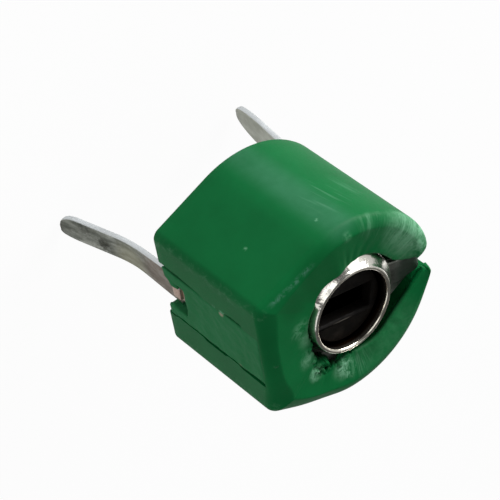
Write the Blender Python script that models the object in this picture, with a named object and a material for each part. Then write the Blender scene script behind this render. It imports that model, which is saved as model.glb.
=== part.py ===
# Ceramic disc trimmer capacitor of the 6 mm class, in a moulded case with a heat-folded lip.
# Units are metres. +Z is the adjusting axis and points away from the circuit board.
# The origin is on that axis at the seating face of the case. The flat side faces -X.
import math

import bmesh
import bpy
from mathutils import Matrix

MM = 0.001

# Case: a cup with a D-shaped outline, whose rim is folded in over the works
CASE_RADIUS = 3.00 * MM
FLAT_STANDOFF = 0.07 * MM        # the flat side lies this much further out than the round one
CASE_SIDE_ANGLE = 110.0          # degrees from +X where the round turns into a straight side
CASE_CORNER = 0.32 * MM          # radius of the two upright corners of the flat side
CASE_WALL = 0.45 * MM
CASE_FLOOR = 0.45 * MM
CASE_FOOT_EDGE = 0.10 * MM       # rounding round the seating face

# Folded lip
LIP_THICKNESS = 0.40 * MM
LIP_SHOULDER_RUN = 0.40 * MM     # how far the rounded shoulder reaches in
LIP_SHOULDER_DROP = 0.32 * MM
LIP_SAG = 0.13 * MM              # the lip slopes down this much from its crest to the mouth
LIP_SWELL = 0.12 * MM            # the rolled end beside the gap stands this much higher
LIP_SWELL_ANGLE = 26.0
LIP_SWELL_SPREAD = 24.0
UPPER_CORNER_RUN = 0.14 * MM     # the shoulder runs further in over each upright corner
LOWER_CORNER_RUN = 0.22 * MM
LOWER_CORNER_DROP = 0.24 * MM    # and hangs lower on the corner at -Y
CORNER_SPREAD = 13.0
LIP_POINT_RUN = 0.10 * MM        # the pointed end beside the gap hardly rounds over
LIP_POINT_SPREAD = 14.0
LIP_NOSE_RUN = 0.26 * MM         # the rolled end is rounder still
LIP_NOSE_SPREAD = 9.0
MOUTH_GAP = 0.23 * MM            # between the spindle and the mouth, on the flat side
MOUTH_EDGE_ROUND = 0.11 * MM
TIGHT_DEPTH = 0.15 * MM          # the lip hugs the spindle on the +Y side
TIGHT_ANGLE = 110.0
TIGHT_SPREAD = 36.0
BAY_DEPTH = 0.36 * MM            # and stands back from it in a ragged bay
BAY_ANGLE = 234.0
BAY_SPREAD = 17.0
MOUTH_WIDENING = 0.16 * MM       # towards the gap the mouth is this much wider

# Gap in the lip, over the slot in the wall where the rotor terminal runs down
GAP_UPPER_ANGLE = 0.8            # end of the rolled side of the lip, in degrees from +X
GAP_LOWER_ANGLE = -8.4           # end of the pointed side
GAP_UPPER_NOSE = 8.5             # degrees over which the rolled end rounds off
GAP_LOWER_NOSE = 3.0
GAP_UPPER_ROOM = 0.06 * MM       # each straight edge of the V passes the spindle at this distance
GAP_UPPER_EDGE_ANGLE = 58.0
GAP_LOWER_ROOM = 0.60 * MM
GAP_LOWER_EDGE_ANGLE = -55.0
GAP_WALL_ROUND = 0.10 * MM
WALL_SLOT_DEPTH = 0.11 * MM      # the slot reaches this far in past the wall

# Running and assembly clearances
FIT = 0.03 * MM                  # between pieces that are stacked or pushed together
SEAM = 0.04 * MM                 # round the panel in the flat side
RUNNING_FIT = 0.04 * MM          # round the turning spindle

# Terminal block: the insulating moulding under the works, with a panel in the flat side
BLOCK_HEIGHT = 2.00 * MM
PANEL_WIDTH = 1.80 * MM
PANEL_THICKNESS = 0.53 * MM
PANEL_HEAD = 0.04 * MM           # between the window of the panel and the shoulder of the lip
PANEL_FOOT = 0.15 * MM           # lower end of the panel's two legs
NOTCH_TOP = 1.00 * MM            # top of the notch between the legs, where the lead leaves
NOTCH_SIDE = 0.54 * MM           # half width of the notch

# Terminals, stamped from tinned brass strip
STRIP = 0.20 * MM
LEAD_WIDTH = 0.84 * MM
LEAD_ROOT_WIDTH = 0.98 * MM      # at the case, narrowing gently to the lead's own width
LEAD_TAPER = 1.60 * MM           # length of that narrowing, below the seating face
LEAD_NOSE_WIDTH = 0.26 * MM      # at the very tip
BEND_RADIUS = 0.13 * MM          # inside radius of the folds
LEAD_SETBACK = 0.13 * MM         # outer face of both leads at the case, inside the round side
LEAD_ROOT_TOP = 0.52 * MM        # where the strip widens to its root
STATOR_LEAD_LENGTH = 4.42 * MM   # below the seating face
STATOR_LEAD_NOSE = 0.66 * MM     # length of the rounded tip
STATOR_NOSE_BIAS = -0.40         # how far the tip is cut from the +Y side only
STATOR_LEAD_SPLAY = 14.5         # degrees
STATOR_SPLAY_START = -1.15 * MM
ROTOR_LEAD_LENGTH = 4.29 * MM
ROTOR_LEAD_WIDTH = 1.02 * MM
ROTOR_LEAD_NOSE = 1.50 * MM
ROTOR_NOSE_BIAS = 0.15           # this tip is cut a little more from the -Y side
ROTOR_LEAD_SPLAY = 7.5
ROTOR_SPLAY_START = -0.10 * MM
ROTOR_LEAD_OFFSET = -0.02 * MM
ROTOR_STRIP_OFFSET = -0.11 * MM  # at the gap the rotor strip lies slightly to one side of the axis
ROTOR_STRIP_RISE = 0.10 * MM     # it steps up from the eye towards the wall
SPLAY_RADIUS = 5.0 * MM
TONGUE_WIDTH = 0.62 * MM
TONGUE_FOLD = 0.13 * MM          # radius of the tongue's folds at mid thickness
TONGUE_TOP = 0.95 * MM           # upper face of the tongue where it leaves the case

# Stack on the axis
DISC_SHARE = 2.15 / 3.00         # radius of the discs, against the case's radius
PLATE_HOLE_ROOM = 0.30 * MM      # between the stator plate and the journal
ROTOR_DISC_THICKNESS = 0.70 * MM
ELECTRODE_MARGIN = 0.15 * MM     # bare ceramic round the silver
ELECTRODE_THICKNESS = 0.12 * MM
ELECTRODE_RIM = 0.18 * MM        # silver left behind the spindle
FLANGE_MARGIN = 0.20 * MM        # the flange ends this far inside the disc's edge
FLANGE_THICKNESS = 0.15 * MM
SPRING_MARGIN = 0.25 * MM
SPRING_THICKNESS = 0.10 * MM
SPRING_RISE = 0.15 * MM
SPRING_NOTCHES = 6
SPRING_NOTCH_WIDTH = 0.22 * MM
SPRING_NOTCH_DEPTH = 0.26 * MM
RING_WIDTH = 0.18 * MM           # eye of the rotor terminal round the spindle
COLLAR_FLARE = 0.16 * MM         # height over which the eye curves up into its drawn collar
COLLAR_HEIGHT = 0.34 * MM        # the collar stands up round the spindle, above the eye
COLLAR_WALL = 0.03 * MM
WEB_ANGLE = -60.0                # the eye widens into the strip from this side of the spindle
WEB_DEPTH = 0.60 * MM            # from the strip's middle line to the web's outer corner
WEB_RELIEF = 0.01 * MM           # the web is drawn this much thinner on each face
ARM_WIDTH = 0.70 * MM
ARM_ANGLES = (122.0, 243.0)
ARM_END_ROOM = 0.17 * MM         # between the arms and the inside of the wall

# Hollow spindle with its driver disc
SPINDLE_SHARE = 1.37 / 3.00      # radius of the spindle, against the case's radius
SPINDLE_WALL = 0.18 * MM
SPINDLE_TOP = 4.71 * MM
SPINDLE_LIP = 0.07 * MM          # rounding of the rim
BORE_STEP = 0.19 * MM            # the bore narrows by this to the journal's outside
JOURNAL_WALL = 0.30 * MM
FLAT_DEPTH = 0.20 * MM           # of each flat that drives the rotor disc
WASHER_WIDTH = 0.45 * MM         # outside the journal
WASHER_THICKNESS = 0.15 * MM
RIVET_FLARE = 0.25 * MM          # outside the journal
RIVET_THICKNESS = 0.12 * MM
DRIVER_DEPTH = 0.30 * MM         # from the rim to the driver disc
DRIVER_THICKNESS = 0.42 * MM
DRIVER_FIT = 0.02 * MM
SLOT_SHARE = 0.42 / 1.19         # width of the slot, against the bore
SLOT_END_ROOM = 0.24 * MM        # from each end of the slot to the bore
SLOT_CHAMFER = 0.07 * MM
SLOT_ANGLE = -13.5

# Radii that follow from the sizes above, from the case inwards
CASE_FLAT = CASE_RADIUS + FLAT_STANDOFF
LEAD_FACE = CASE_RADIUS - LEAD_SETBACK
WALL_SLOT_INSIDE = CASE_RADIUS - CASE_WALL - WALL_SLOT_DEPTH
ARM_REACH = CASE_RADIUS - CASE_WALL - ARM_END_ROOM
ROTOR_DISC_RADIUS = CASE_RADIUS * DISC_SHARE
STATOR_PLATE_RADIUS = ROTOR_DISC_RADIUS
ELECTRODE_RADIUS = ROTOR_DISC_RADIUS - ELECTRODE_MARGIN
FLANGE_RADIUS = ROTOR_DISC_RADIUS - FLANGE_MARGIN
SPRING_RADIUS = ROTOR_DISC_RADIUS - SPRING_MARGIN
SPINDLE_RADIUS = CASE_RADIUS * SPINDLE_SHARE
SPINDLE_BORE = SPINDLE_RADIUS - SPINDLE_WALL
JOURNAL_RADIUS = SPINDLE_BORE - BORE_STEP
JOURNAL_BORE = JOURNAL_RADIUS - JOURNAL_WALL
FLATS = JOURNAL_RADIUS - FLAT_DEPTH
WASHER_RADIUS = JOURNAL_RADIUS + WASHER_WIDTH
RIVET_RADIUS = JOURNAL_RADIUS + RIVET_FLARE
STATOR_PLATE_HOLE = JOURNAL_RADIUS + PLATE_HOLE_ROOM
SLOT_LENGTH = 2 * (SPINDLE_BORE - SLOT_END_ROOM)
SLOT_WIDTH = 2 * SPINDLE_BORE * SLOT_SHARE
MOUTH_RADIUS = SPINDLE_RADIUS + MOUTH_GAP
GAP_UPPER_EDGE = SPINDLE_RADIUS + GAP_UPPER_ROOM
GAP_LOWER_EDGE = SPINDLE_RADIUS + GAP_LOWER_ROOM

# Levels that follow from the sizes above, from the seating face upwards
RIVET_LEVEL = CASE_FLOOR + 2 * FIT
WASHER_LEVEL = RIVET_LEVEL + RIVET_THICKNESS + FIT
RECESS_TOP = WASHER_LEVEL + WASHER_THICKNESS + FIT
BLOCK_LEVEL = CASE_FLOOR + FIT
BLOCK_TOP = BLOCK_LEVEL + BLOCK_HEIGHT
STATOR_LEVEL = BLOCK_TOP + FIT
DISC_LEVEL = STATOR_LEVEL + STRIP + FIT
ELECTRODE_LEVEL = DISC_LEVEL + ROTOR_DISC_THICKNESS + FIT
FLANGE_LEVEL = ELECTRODE_LEVEL + ELECTRODE_THICKNESS + FIT
SPRING_LEVEL = FLANGE_LEVEL + FLANGE_THICKNESS + FIT
RING_LEVEL = SPRING_LEVEL + SPRING_RISE + SPRING_THICKNESS + FIT
LIP_UNDERSIDE = RING_LEVEL + STRIP + FIT
LIP_TOP = LIP_UNDERSIDE + LIP_THICKNESS
DRIVER_TOP = SPINDLE_TOP - DRIVER_DEPTH
DRIVER_SEAT = DRIVER_TOP - DRIVER_THICKNESS
GAP_LEVEL = RING_LEVEL - FIT
ROTOR_STRIP_TOP = RING_LEVEL + STRIP + ROTOR_STRIP_RISE
WALL_SLOT_LOW = ROTOR_STRIP_OFFSET - LEAD_WIDTH / 2 - SEAM
WALL_SLOT_HIGH = ROTOR_LEAD_OFFSET + ROTOR_LEAD_WIDTH / 2 + SEAM
WALL_INSIDE = CASE_FLAT - CASE_WALL
CASE_CORNER_Y = (CASE_RADIUS + CASE_FLAT * math.cos(math.radians(CASE_SIDE_ANGLE))) / math.sin(
    math.radians(CASE_SIDE_ANGLE))
PANEL_TOP = LIP_TOP - LIP_SHOULDER_DROP - PANEL_HEAD

ROUND_STEPS = 64


def clear_scene():
    for item in list(bpy.data.objects):
        bpy.data.objects.remove(item, do_unlink=True)


def make_material(name, colour, roughness, metallic):
    material = bpy.data.materials.new(name)
    material.use_nodes = True
    shader = material.node_tree.nodes["Principled BSDF"]
    shader.inputs["Base Color"].default_value = (*colour, 1.0)
    shader.inputs["Roughness"].default_value = roughness
    shader.inputs["Metallic"].default_value = metallic
    return material


def make_object(name, bm, material=None, sharp_angle=35.0, parent=None):
    bmesh.ops.recalc_face_normals(bm, faces=bm.faces)
    mesh = bpy.data.meshes.new(name)
    bm.to_mesh(mesh)
    bm.free()
    item = bpy.data.objects.new(name, mesh)
    bpy.context.collection.objects.link(item)
    if material is not None:
        mesh.materials.append(material)
    mesh.shade_smooth()
    mesh.set_sharp_from_angle(angle=math.radians(sharp_angle))
    if parent is not None:
        item.parent = parent
    return item


def make_cutter(name, bm):
    item = make_object(name, bm)
    item.hide_render = True
    item.display_type = "WIRE"
    return item


def combine(target, other, operation):
    modifier = target.modifiers.new(operation.lower() + "_" + other.name, "BOOLEAN")
    modifier.operation = operation
    modifier.object = other
    modifier.solver = "EXACT"


def box_mesh(low, high):
    bm = bmesh.new()
    size = [b - a for a, b in zip(low, high)]
    middle = [(a + b) / 2 for a, b in zip(low, high)]
    bmesh.ops.create_cube(bm, size=1.0, matrix=Matrix.Translation(middle) @ Matrix.Diagonal((*size, 1.0)))
    return bm


def turned_mesh(profile, steps=ROUND_STEPS):
    # The profile is a closed loop of (radius, height) points, clear of the axis.
    bm = bmesh.new()
    verts = [bm.verts.new((radius, 0.0, height)) for radius, height in profile]
    edges = [bm.edges.new((verts[i - 1], verts[i])) for i in range(len(verts))]
    bmesh.ops.spin(bm, geom=verts + edges, cent=(0, 0, 0), axis=(0, 0, 1), angle=2 * math.pi,
                   steps=steps, use_merge=True)
    bmesh.ops.remove_doubles(bm, verts=bm.verts, dist=1e-7)
    return bm


def raised_mesh(outline, low, high):
    # An outline of (x, y) points, raised from one level to another.
    bm = bmesh.new()
    face = bm.faces.new([bm.verts.new((x, y, low)) for x, y in outline])
    raised = bmesh.ops.extrude_face_region(bm, geom=[face])
    top = [item for item in raised["geom"] if isinstance(item, bmesh.types.BMVert)]
    bmesh.ops.translate(bm, verts=top, vec=(0, 0, high - low))
    return bm


def side_mesh(outline, low, high):
    # An outline of (x, z) points, drawn out along Y from one place to another.
    bm = bmesh.new()
    face = bm.faces.new([bm.verts.new((x, low, z)) for x, z in outline])
    raised = bmesh.ops.extrude_face_region(bm, geom=[face])
    far = [item for item in raised["geom"] if isinstance(item, bmesh.types.BMVert)]
    bmesh.ops.translate(bm, verts=far, vec=(0, high - low, 0))
    return bm


def arc_points(radius, start, end, steps, centre=(0.0, 0.0)):
    # Points on an arc, with the angles in degrees.
    points = []
    for step in range(steps + 1):
        angle = math.radians(start + (end - start) * step / steps)
        points.append((centre[0] + radius * math.cos(angle), centre[1] + radius * math.sin(angle)))
    return points


def case_arc_angles():
    # Stations round the case: close together at the gap, wider apart elsewhere.
    fine = [GAP_LOWER_ANGLE - GAP_LOWER_NOSE + 1.25 * k for k in range(33)]
    square = 90.0
    stretches = [(-CASE_SIDE_ANGLE, -square, 4), (-square, fine[0], 13)]
    low = [a + (b - a) * k / steps for a, b, steps in stretches for k in range(steps)]
    stretches = [(fine[-1], square, 11), (square, CASE_SIDE_ANGLE, 4)]
    high = [a + (b - a) * (k + 1) / steps for a, b, steps in stretches for k in range(steps)]
    return low + fine + high


def case_outline(inset):
    # The D-shaped outline, moved inwards by the inset. Every inset gives matching stations.
    radius = CASE_RADIUS - inset
    flat = CASE_FLAT - inset
    corner = max(CASE_CORNER - inset, 0.04 * MM)
    side = math.radians(CASE_SIDE_ANGLE)
    angles = [math.radians(angle) for angle in case_arc_angles()]
    points = [(radius * math.cos(angle), radius * math.sin(angle)) for angle in angles]
    # The centre of the rounded corner lies one corner radius inside the side and the flat.
    centre_x = corner - flat
    centre_y = (radius - corner - centre_x * math.cos(side)) / math.sin(side)
    tangent = points[-1]
    first = (centre_x + corner * math.cos(side), centre_y + corner * math.sin(side))
    steps = 5
    for k in range(1, steps):
        t = k / steps
        points.append((tangent[0] + (first[0] - tangent[0]) * t, tangent[1] + (first[1] - tangent[1]) * t))
    points += arc_points(corner, CASE_SIDE_ANGLE, 180.0, 4, (centre_x, centre_y))
    half = [(x, y) for x, y in points if y > 0 and x < tangent[0] - 1e-9]
    flat_steps = 12
    for k in range(1, flat_steps):
        points.append((-flat, centre_y * (1 - 2 * k / flat_steps)))
    points += [(x, -y) for x, y in reversed(half)]
    return points


def bump(angle, middle, spread):
    # A smooth rise from 0 to 1 and back, round one angle.
    return math.exp(-((angle - middle) / spread) ** 2)


def mouth_radius(angle):
    # Distance of the mouth's edge from the axis. Two straight edges open it into a V at the gap.
    turned = angle % 360.0
    radius = MOUTH_RADIUS + MOUTH_WIDENING * max(math.cos(math.radians(angle)), 0.0)
    radius += BAY_DEPTH * bump(turned, BAY_ANGLE, BAY_SPREAD)
    radius -= TIGHT_DEPTH * bump(turned, TIGHT_ANGLE, TIGHT_SPREAD)
    if GAP_LOWER_EDGE_ANGLE < angle <= 0:
        radius = max(radius, GAP_LOWER_EDGE / math.cos(math.radians(angle - GAP_LOWER_EDGE_ANGLE)))
    if 0 < angle < GAP_UPPER_EDGE_ANGLE:
        radius = max(radius, GAP_UPPER_EDGE / math.cos(math.radians(GAP_UPPER_EDGE_ANGLE - angle)))
    return min(radius, CASE_RADIUS - CASE_WALL / 2)


def fold_amount(angle):
    # 1 where the lip is folded right over, 0 in the gap, with a rounded end on each side.
    if angle > 0:
        reach = (angle - GAP_UPPER_ANGLE) / GAP_UPPER_NOSE
    else:
        reach = (GAP_LOWER_ANGLE - angle) / GAP_LOWER_NOSE
    reach = min(max(reach, 0.0), 1.0)
    return math.sqrt(1 - (1 - reach) ** 2)


def lip_shape(angle):
    # Crest of the lip, and the run and drop of its shoulder, at an angle round the case.
    corner_angle = math.degrees(math.atan2(CASE_CORNER_Y, -CASE_FLAT))
    upper_corner = bump(angle, corner_angle, CORNER_SPREAD)
    lower_corner = bump(angle, -corner_angle, CORNER_SPREAD)
    point = bump(angle, GAP_LOWER_ANGLE, LIP_POINT_SPREAD)
    crest = LIP_TOP + LIP_SWELL * bump(angle, LIP_SWELL_ANGLE, LIP_SWELL_SPREAD)
    run = LIP_SHOULDER_RUN + UPPER_CORNER_RUN * upper_corner + LOWER_CORNER_RUN * lower_corner
    if angle > 0:
        run += LIP_NOSE_RUN * bump(angle, GAP_UPPER_ANGLE, LIP_NOSE_SPREAD)
    else:
        run -= (LIP_SHOULDER_RUN - LIP_POINT_RUN) * point
    drop = LIP_SHOULDER_DROP + LOWER_CORNER_DROP * lower_corner
    return crest, run, drop


def case_sections():
    # One loop of points for each station, from the foot over the lip and down the inner wall.
    insets = {}

    def at(inset, station):
        if inset not in insets:
            insets[inset] = case_outline(inset)
        return insets[inset][station]

    sections = []
    for station, (x, y) in enumerate(case_outline(0.0)):
        angle = math.degrees(math.atan2(y, x))
        crest, run, drop = lip_shape(angle)
        fold = fold_amount(angle)
        mouth = mouth_radius(angle)
        towards = (math.cos(math.radians(angle)), math.sin(math.radians(angle)))
        low_edge = crest - LIP_SAG - 2 * MOUTH_EDGE_ROUND

        def at_mouth(radius):
            return (radius * towards[0], radius * towards[1])

        def between(inset, radius, share):
            a = at(inset, station)
            b = at_mouth(radius)
            return (a[0] + (b[0] - a[0]) * share, a[1] + (b[1] - a[1]) * share)

        lip = []
        gap = []
        shoulder_steps = 5
        for k in range(shoulder_steps + 1):
            turn = math.pi / 2 * k / shoulder_steps
            lip.append((at(run * (1 - math.cos(turn)), station), crest - drop * (1 - math.sin(turn))))
            gap.append((at(GAP_WALL_ROUND * (1 - math.cos(turn)), station),
                        GAP_LEVEL - GAP_WALL_ROUND * (1 - math.sin(turn))))
        edge = mouth + MOUTH_EDGE_ROUND
        for share in (0.06, 0.5, 1.0):
            lip.append((between(run, edge, share), crest - LIP_SAG * share))
            gap.append((at(GAP_WALL_ROUND + (CASE_WALL - 2 * GAP_WALL_ROUND) * share, station), GAP_LEVEL))
        mouth_steps = 5
        for k in range(1, mouth_steps + 1):
            turn = math.pi * k / mouth_steps
            lip.append((at_mouth(edge - MOUTH_EDGE_ROUND * math.sin(turn)),
                        low_edge + MOUTH_EDGE_ROUND * (1 + math.cos(turn))))
            gap.append((at(CASE_WALL - GAP_WALL_ROUND * (1 - math.sin(turn / 2)), station),
                        GAP_LEVEL - GAP_WALL_ROUND * (1 - math.cos(turn / 2))))
        lip.append((at(CASE_WALL, station), LIP_UNDERSIDE))
        gap.append((at(CASE_WALL, station), GAP_LEVEL - 2 * GAP_WALL_ROUND))
        section = [(*at(CASE_FOOT_EDGE, station), 0.0), (*at(0.0, station), CASE_FOOT_EDGE)]
        for (a, low), (b, high) in zip(gap, lip):
            section.append((a[0] + (b[0] - a[0]) * fold, a[1] + (b[1] - a[1]) * fold,
                            low + (high - low) * fold))
        section.append((*at(CASE_WALL, station), CASE_FLOOR))
        sections.append(section)
    return sections


def make_case(material):
    bm = bmesh.new()
    loops = [[bm.verts.new(point) for point in section] for section in case_sections()]
    for here, after in zip(loops, loops[1:] + loops[:1]):
        for k in range(len(here) - 1):
            bm.faces.new((here[k], here[k + 1], after[k + 1], after[k]))
    bm.faces.new([loop[0] for loop in loops])
    bm.faces.new([loop[-1] for loop in loops])
    case = make_object("case", bm, material)
    outside = -CASE_FLAT - CASE_WALL
    inside = -WALL_INSIDE + CASE_WALL / 4
    window = box_mesh((outside, -PANEL_WIDTH / 2 - SEAM, -CASE_FLOOR),
                      (inside, PANEL_WIDTH / 2 + SEAM, PANEL_TOP + SEAM))
    combine(case, make_cutter("case_window_cutter", window), "DIFFERENCE")
    # The slot for the rotor terminal runs from the gap in the lip down through the floor's edge.
    outer = CASE_RADIUS + CASE_WALL
    top = ROTOR_STRIP_TOP + FIT
    outline = [(WALL_SLOT_INSIDE, -CASE_FLOOR), (outer, -CASE_FLOOR), (outer, top), (MOUTH_RADIUS, top),
               (MOUTH_RADIUS, GAP_LEVEL), (WALL_SLOT_INSIDE, GAP_LEVEL)]
    slot = side_mesh(outline, WALL_SLOT_LOW, WALL_SLOT_HIGH)
    combine(case, make_cutter("case_slot_cutter", slot), "DIFFERENCE")
    return case


def make_terminal_block(material):
    body = raised_mesh(case_outline(CASE_WALL + FIT), BLOCK_LEVEL, BLOCK_TOP)
    block = make_object("terminal_block", body, material)
    panel = box_mesh((-CASE_FLAT, -PANEL_WIDTH / 2, PANEL_FOOT),
                     (-CASE_FLAT + PANEL_THICKNESS, PANEL_WIDTH / 2, PANEL_TOP))
    combine(block, make_cutter("block_panel", panel), "UNION")
    notch = box_mesh((-CASE_FLAT - CASE_WALL, -NOTCH_SIDE, -CASE_FLOOR),
                     (-CASE_FLAT + PANEL_THICKNESS + FIT, NOTCH_SIDE, NOTCH_TOP))
    combine(block, make_cutter("block_notch_cutter", notch), "DIFFERENCE")
    bore = turned_cylinder(JOURNAL_RADIUS + RUNNING_FIT, BLOCK_LEVEL - CASE_WALL, BLOCK_TOP + CASE_WALL)
    combine(block, make_cutter("block_bore_cutter", bore), "DIFFERENCE")
    recess = turned_cylinder(WASHER_RADIUS + RUNNING_FIT, BLOCK_LEVEL - CASE_WALL, RECESS_TOP)
    combine(block, make_cutter("block_recess_cutter", recess), "DIFFERENCE")
    # The tongue of the stator terminal lies in an L-shaped channel.
    half = TONGUE_WIDTH / 2 + FIT
    outer = -STATOR_PLATE_RADIUS - STRIP - FIT
    inner = -STATOR_PLATE_RADIUS + FIT
    foot = TONGUE_TOP - STRIP - FIT
    level = box_mesh((-CASE_FLAT - CASE_WALL, -half, foot), (inner, half, TONGUE_TOP + FIT))
    combine(block, make_cutter("block_level_channel_cutter", level), "DIFFERENCE")
    upright = box_mesh((outer, -half, foot), (inner, half, BLOCK_TOP + CASE_WALL))
    combine(block, make_cutter("block_upright_channel_cutter", upright), "DIFFERENCE")
    return block


def turned_cylinder(radius, low, high):
    bm = bmesh.new()
    bmesh.ops.create_cone(bm, cap_ends=True, segments=ROUND_STEPS, radius1=radius, radius2=radius,
                          depth=high - low, matrix=Matrix.Translation((0, 0, (low + high) / 2)))
    return bm


def fold_path(corners, radius, steps=4):
    # A path of (x, z) points whose corners are rounded to a radius.
    path = [corners[0]]
    for before, corner, after in zip(corners, corners[1:], corners[2:]):
        a = (before[0] - corner[0], before[1] - corner[1])
        b = (after[0] - corner[0], after[1] - corner[1])
        a_length = math.hypot(*a)
        b_length = math.hypot(*b)
        a = (a[0] / a_length, a[1] / a_length)
        b = (b[0] / b_length, b[1] / b_length)
        half = math.acos(max(-1.0, min(1.0, a[0] * b[0] + a[1] * b[1]))) / 2
        reach = radius / math.tan(half)
        middle = (a[0] + b[0], a[1] + b[1])
        middle_length = math.hypot(*middle)
        distance = radius / math.sin(half)
        centre = (corner[0] + middle[0] / middle_length * distance,
                  corner[1] + middle[1] / middle_length * distance)
        start = math.atan2(corner[1] + a[1] * reach - centre[1], corner[0] + a[0] * reach - centre[0])
        end = math.atan2(corner[1] + b[1] * reach - centre[1], corner[0] + b[0] * reach - centre[0])
        turn = (end - start + math.pi) % (2 * math.pi) - math.pi
        for k in range(steps + 1):
            angle = start + turn * k / steps
            path.append((centre[0] + radius * math.cos(angle), centre[1] + radius * math.sin(angle)))
    path.append(corners[-1])
    return path


def lead_run(side, length, root_width, width, nose, nose_bias, splay, splay_start, offset):
    # Rings of (x, z, width, offset) down a lead, from its widened root to its rounded tip.
    face = side * (LEAD_FACE - STRIP / 2)
    lean = math.radians(splay)
    arc_depth = SPLAY_RADIUS * math.sin(lean)
    levels = [LEAD_ROOT_TOP, 0.0, -LEAD_TAPER]
    bend_steps = 6
    nose_steps = 6
    levels += [splay_start - arc_depth * k / bend_steps for k in range(bend_steps + 1)]
    levels += [-length + nose * (1 - math.sin(math.pi / 2 * k / nose_steps)) for k in range(nose_steps + 1)]
    rings = []
    for level in sorted(set(levels), reverse=True):
        depth = max(splay_start - level, 0.0)
        if depth < arc_depth:
            away = SPLAY_RADIUS - math.sqrt(SPLAY_RADIUS ** 2 - depth ** 2)
        else:
            away = SPLAY_RADIUS * (1 - math.cos(lean)) + (depth - arc_depth) * math.tan(lean)
        full = root_width - (root_width - width) * min(max(-level / LEAD_TAPER, 0.0), 1.0)
        share = min(max((nose - length - level) / nose, 0.0), 1.0)
        narrow = (width - LEAD_NOSE_WIDTH) * (1 - math.sqrt(1 - share ** 2))
        rings.append((face + side * away, level, full - narrow, offset + nose_bias * narrow / 2))
    return rings


def strip_mesh(run):
    # A flat strip of the terminals' thickness, through rings of (x, z, width, offset).
    bm = bmesh.new()
    rings = []
    for k, (x, z, width, offset) in enumerate(run):
        before = run[max(k - 1, 0)]
        after = run[min(k + 1, len(run) - 1)]
        along = (after[0] - before[0], after[1] - before[1])
        length = math.hypot(*along)
        across = (-along[1] / length * STRIP / 2, along[0] / length * STRIP / 2)
        ring = []
        for side, edge in ((1, 1), (1, -1), (-1, -1), (-1, 1)):
            ring.append(bm.verts.new((x + side * across[0], offset + edge * width / 2, z + side * across[1])))
        rings.append(ring)
    for here, after in zip(rings, rings[1:]):
        for k in range(4):
            bm.faces.new((here[k], here[(k + 1) % 4], after[(k + 1) % 4], after[k]))
    bm.faces.new(rings[0])
    bm.faces.new(list(reversed(rings[-1])))
    return bm


def make_stator_terminal(material):
    # Half-disc plate under the rotor disc, with a tongue that folds down and out to the lead.
    outline = arc_points(STATOR_PLATE_RADIUS, 90.0, 270.0, 32)
    outline += arc_points(STATOR_PLATE_HOLE, 270.0, 90.0, 24)
    plate = make_object("stator_terminal", raised_mesh(outline, STATOR_LEVEL, STATOR_LEVEL + STRIP), material)
    upright = -STATOR_PLATE_RADIUS - STRIP / 2
    face = -LEAD_FACE + STRIP / 2
    level = TONGUE_TOP - STRIP / 2
    plate_level = STATOR_LEVEL + STRIP / 2
    corners = [(-STATOR_PLATE_RADIUS + STRIP, plate_level), (upright, plate_level), (upright, level),
               (face, level), (face, LEAD_ROOT_TOP + STRIP / 2)]
    tongue = [(x, z, TONGUE_WIDTH, 0.0) for x, z in fold_path(corners, TONGUE_FOLD)]
    lead = lead_run(-1, STATOR_LEAD_LENGTH, LEAD_ROOT_WIDTH, LEAD_WIDTH, STATOR_LEAD_NOSE, STATOR_NOSE_BIAS,
                    STATOR_LEAD_SPLAY, STATOR_SPLAY_START, 0.0)
    strip = make_cutter("stator_strip", strip_mesh(tongue + lead))
    combine(plate, strip, "UNION")
    return plate


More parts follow.
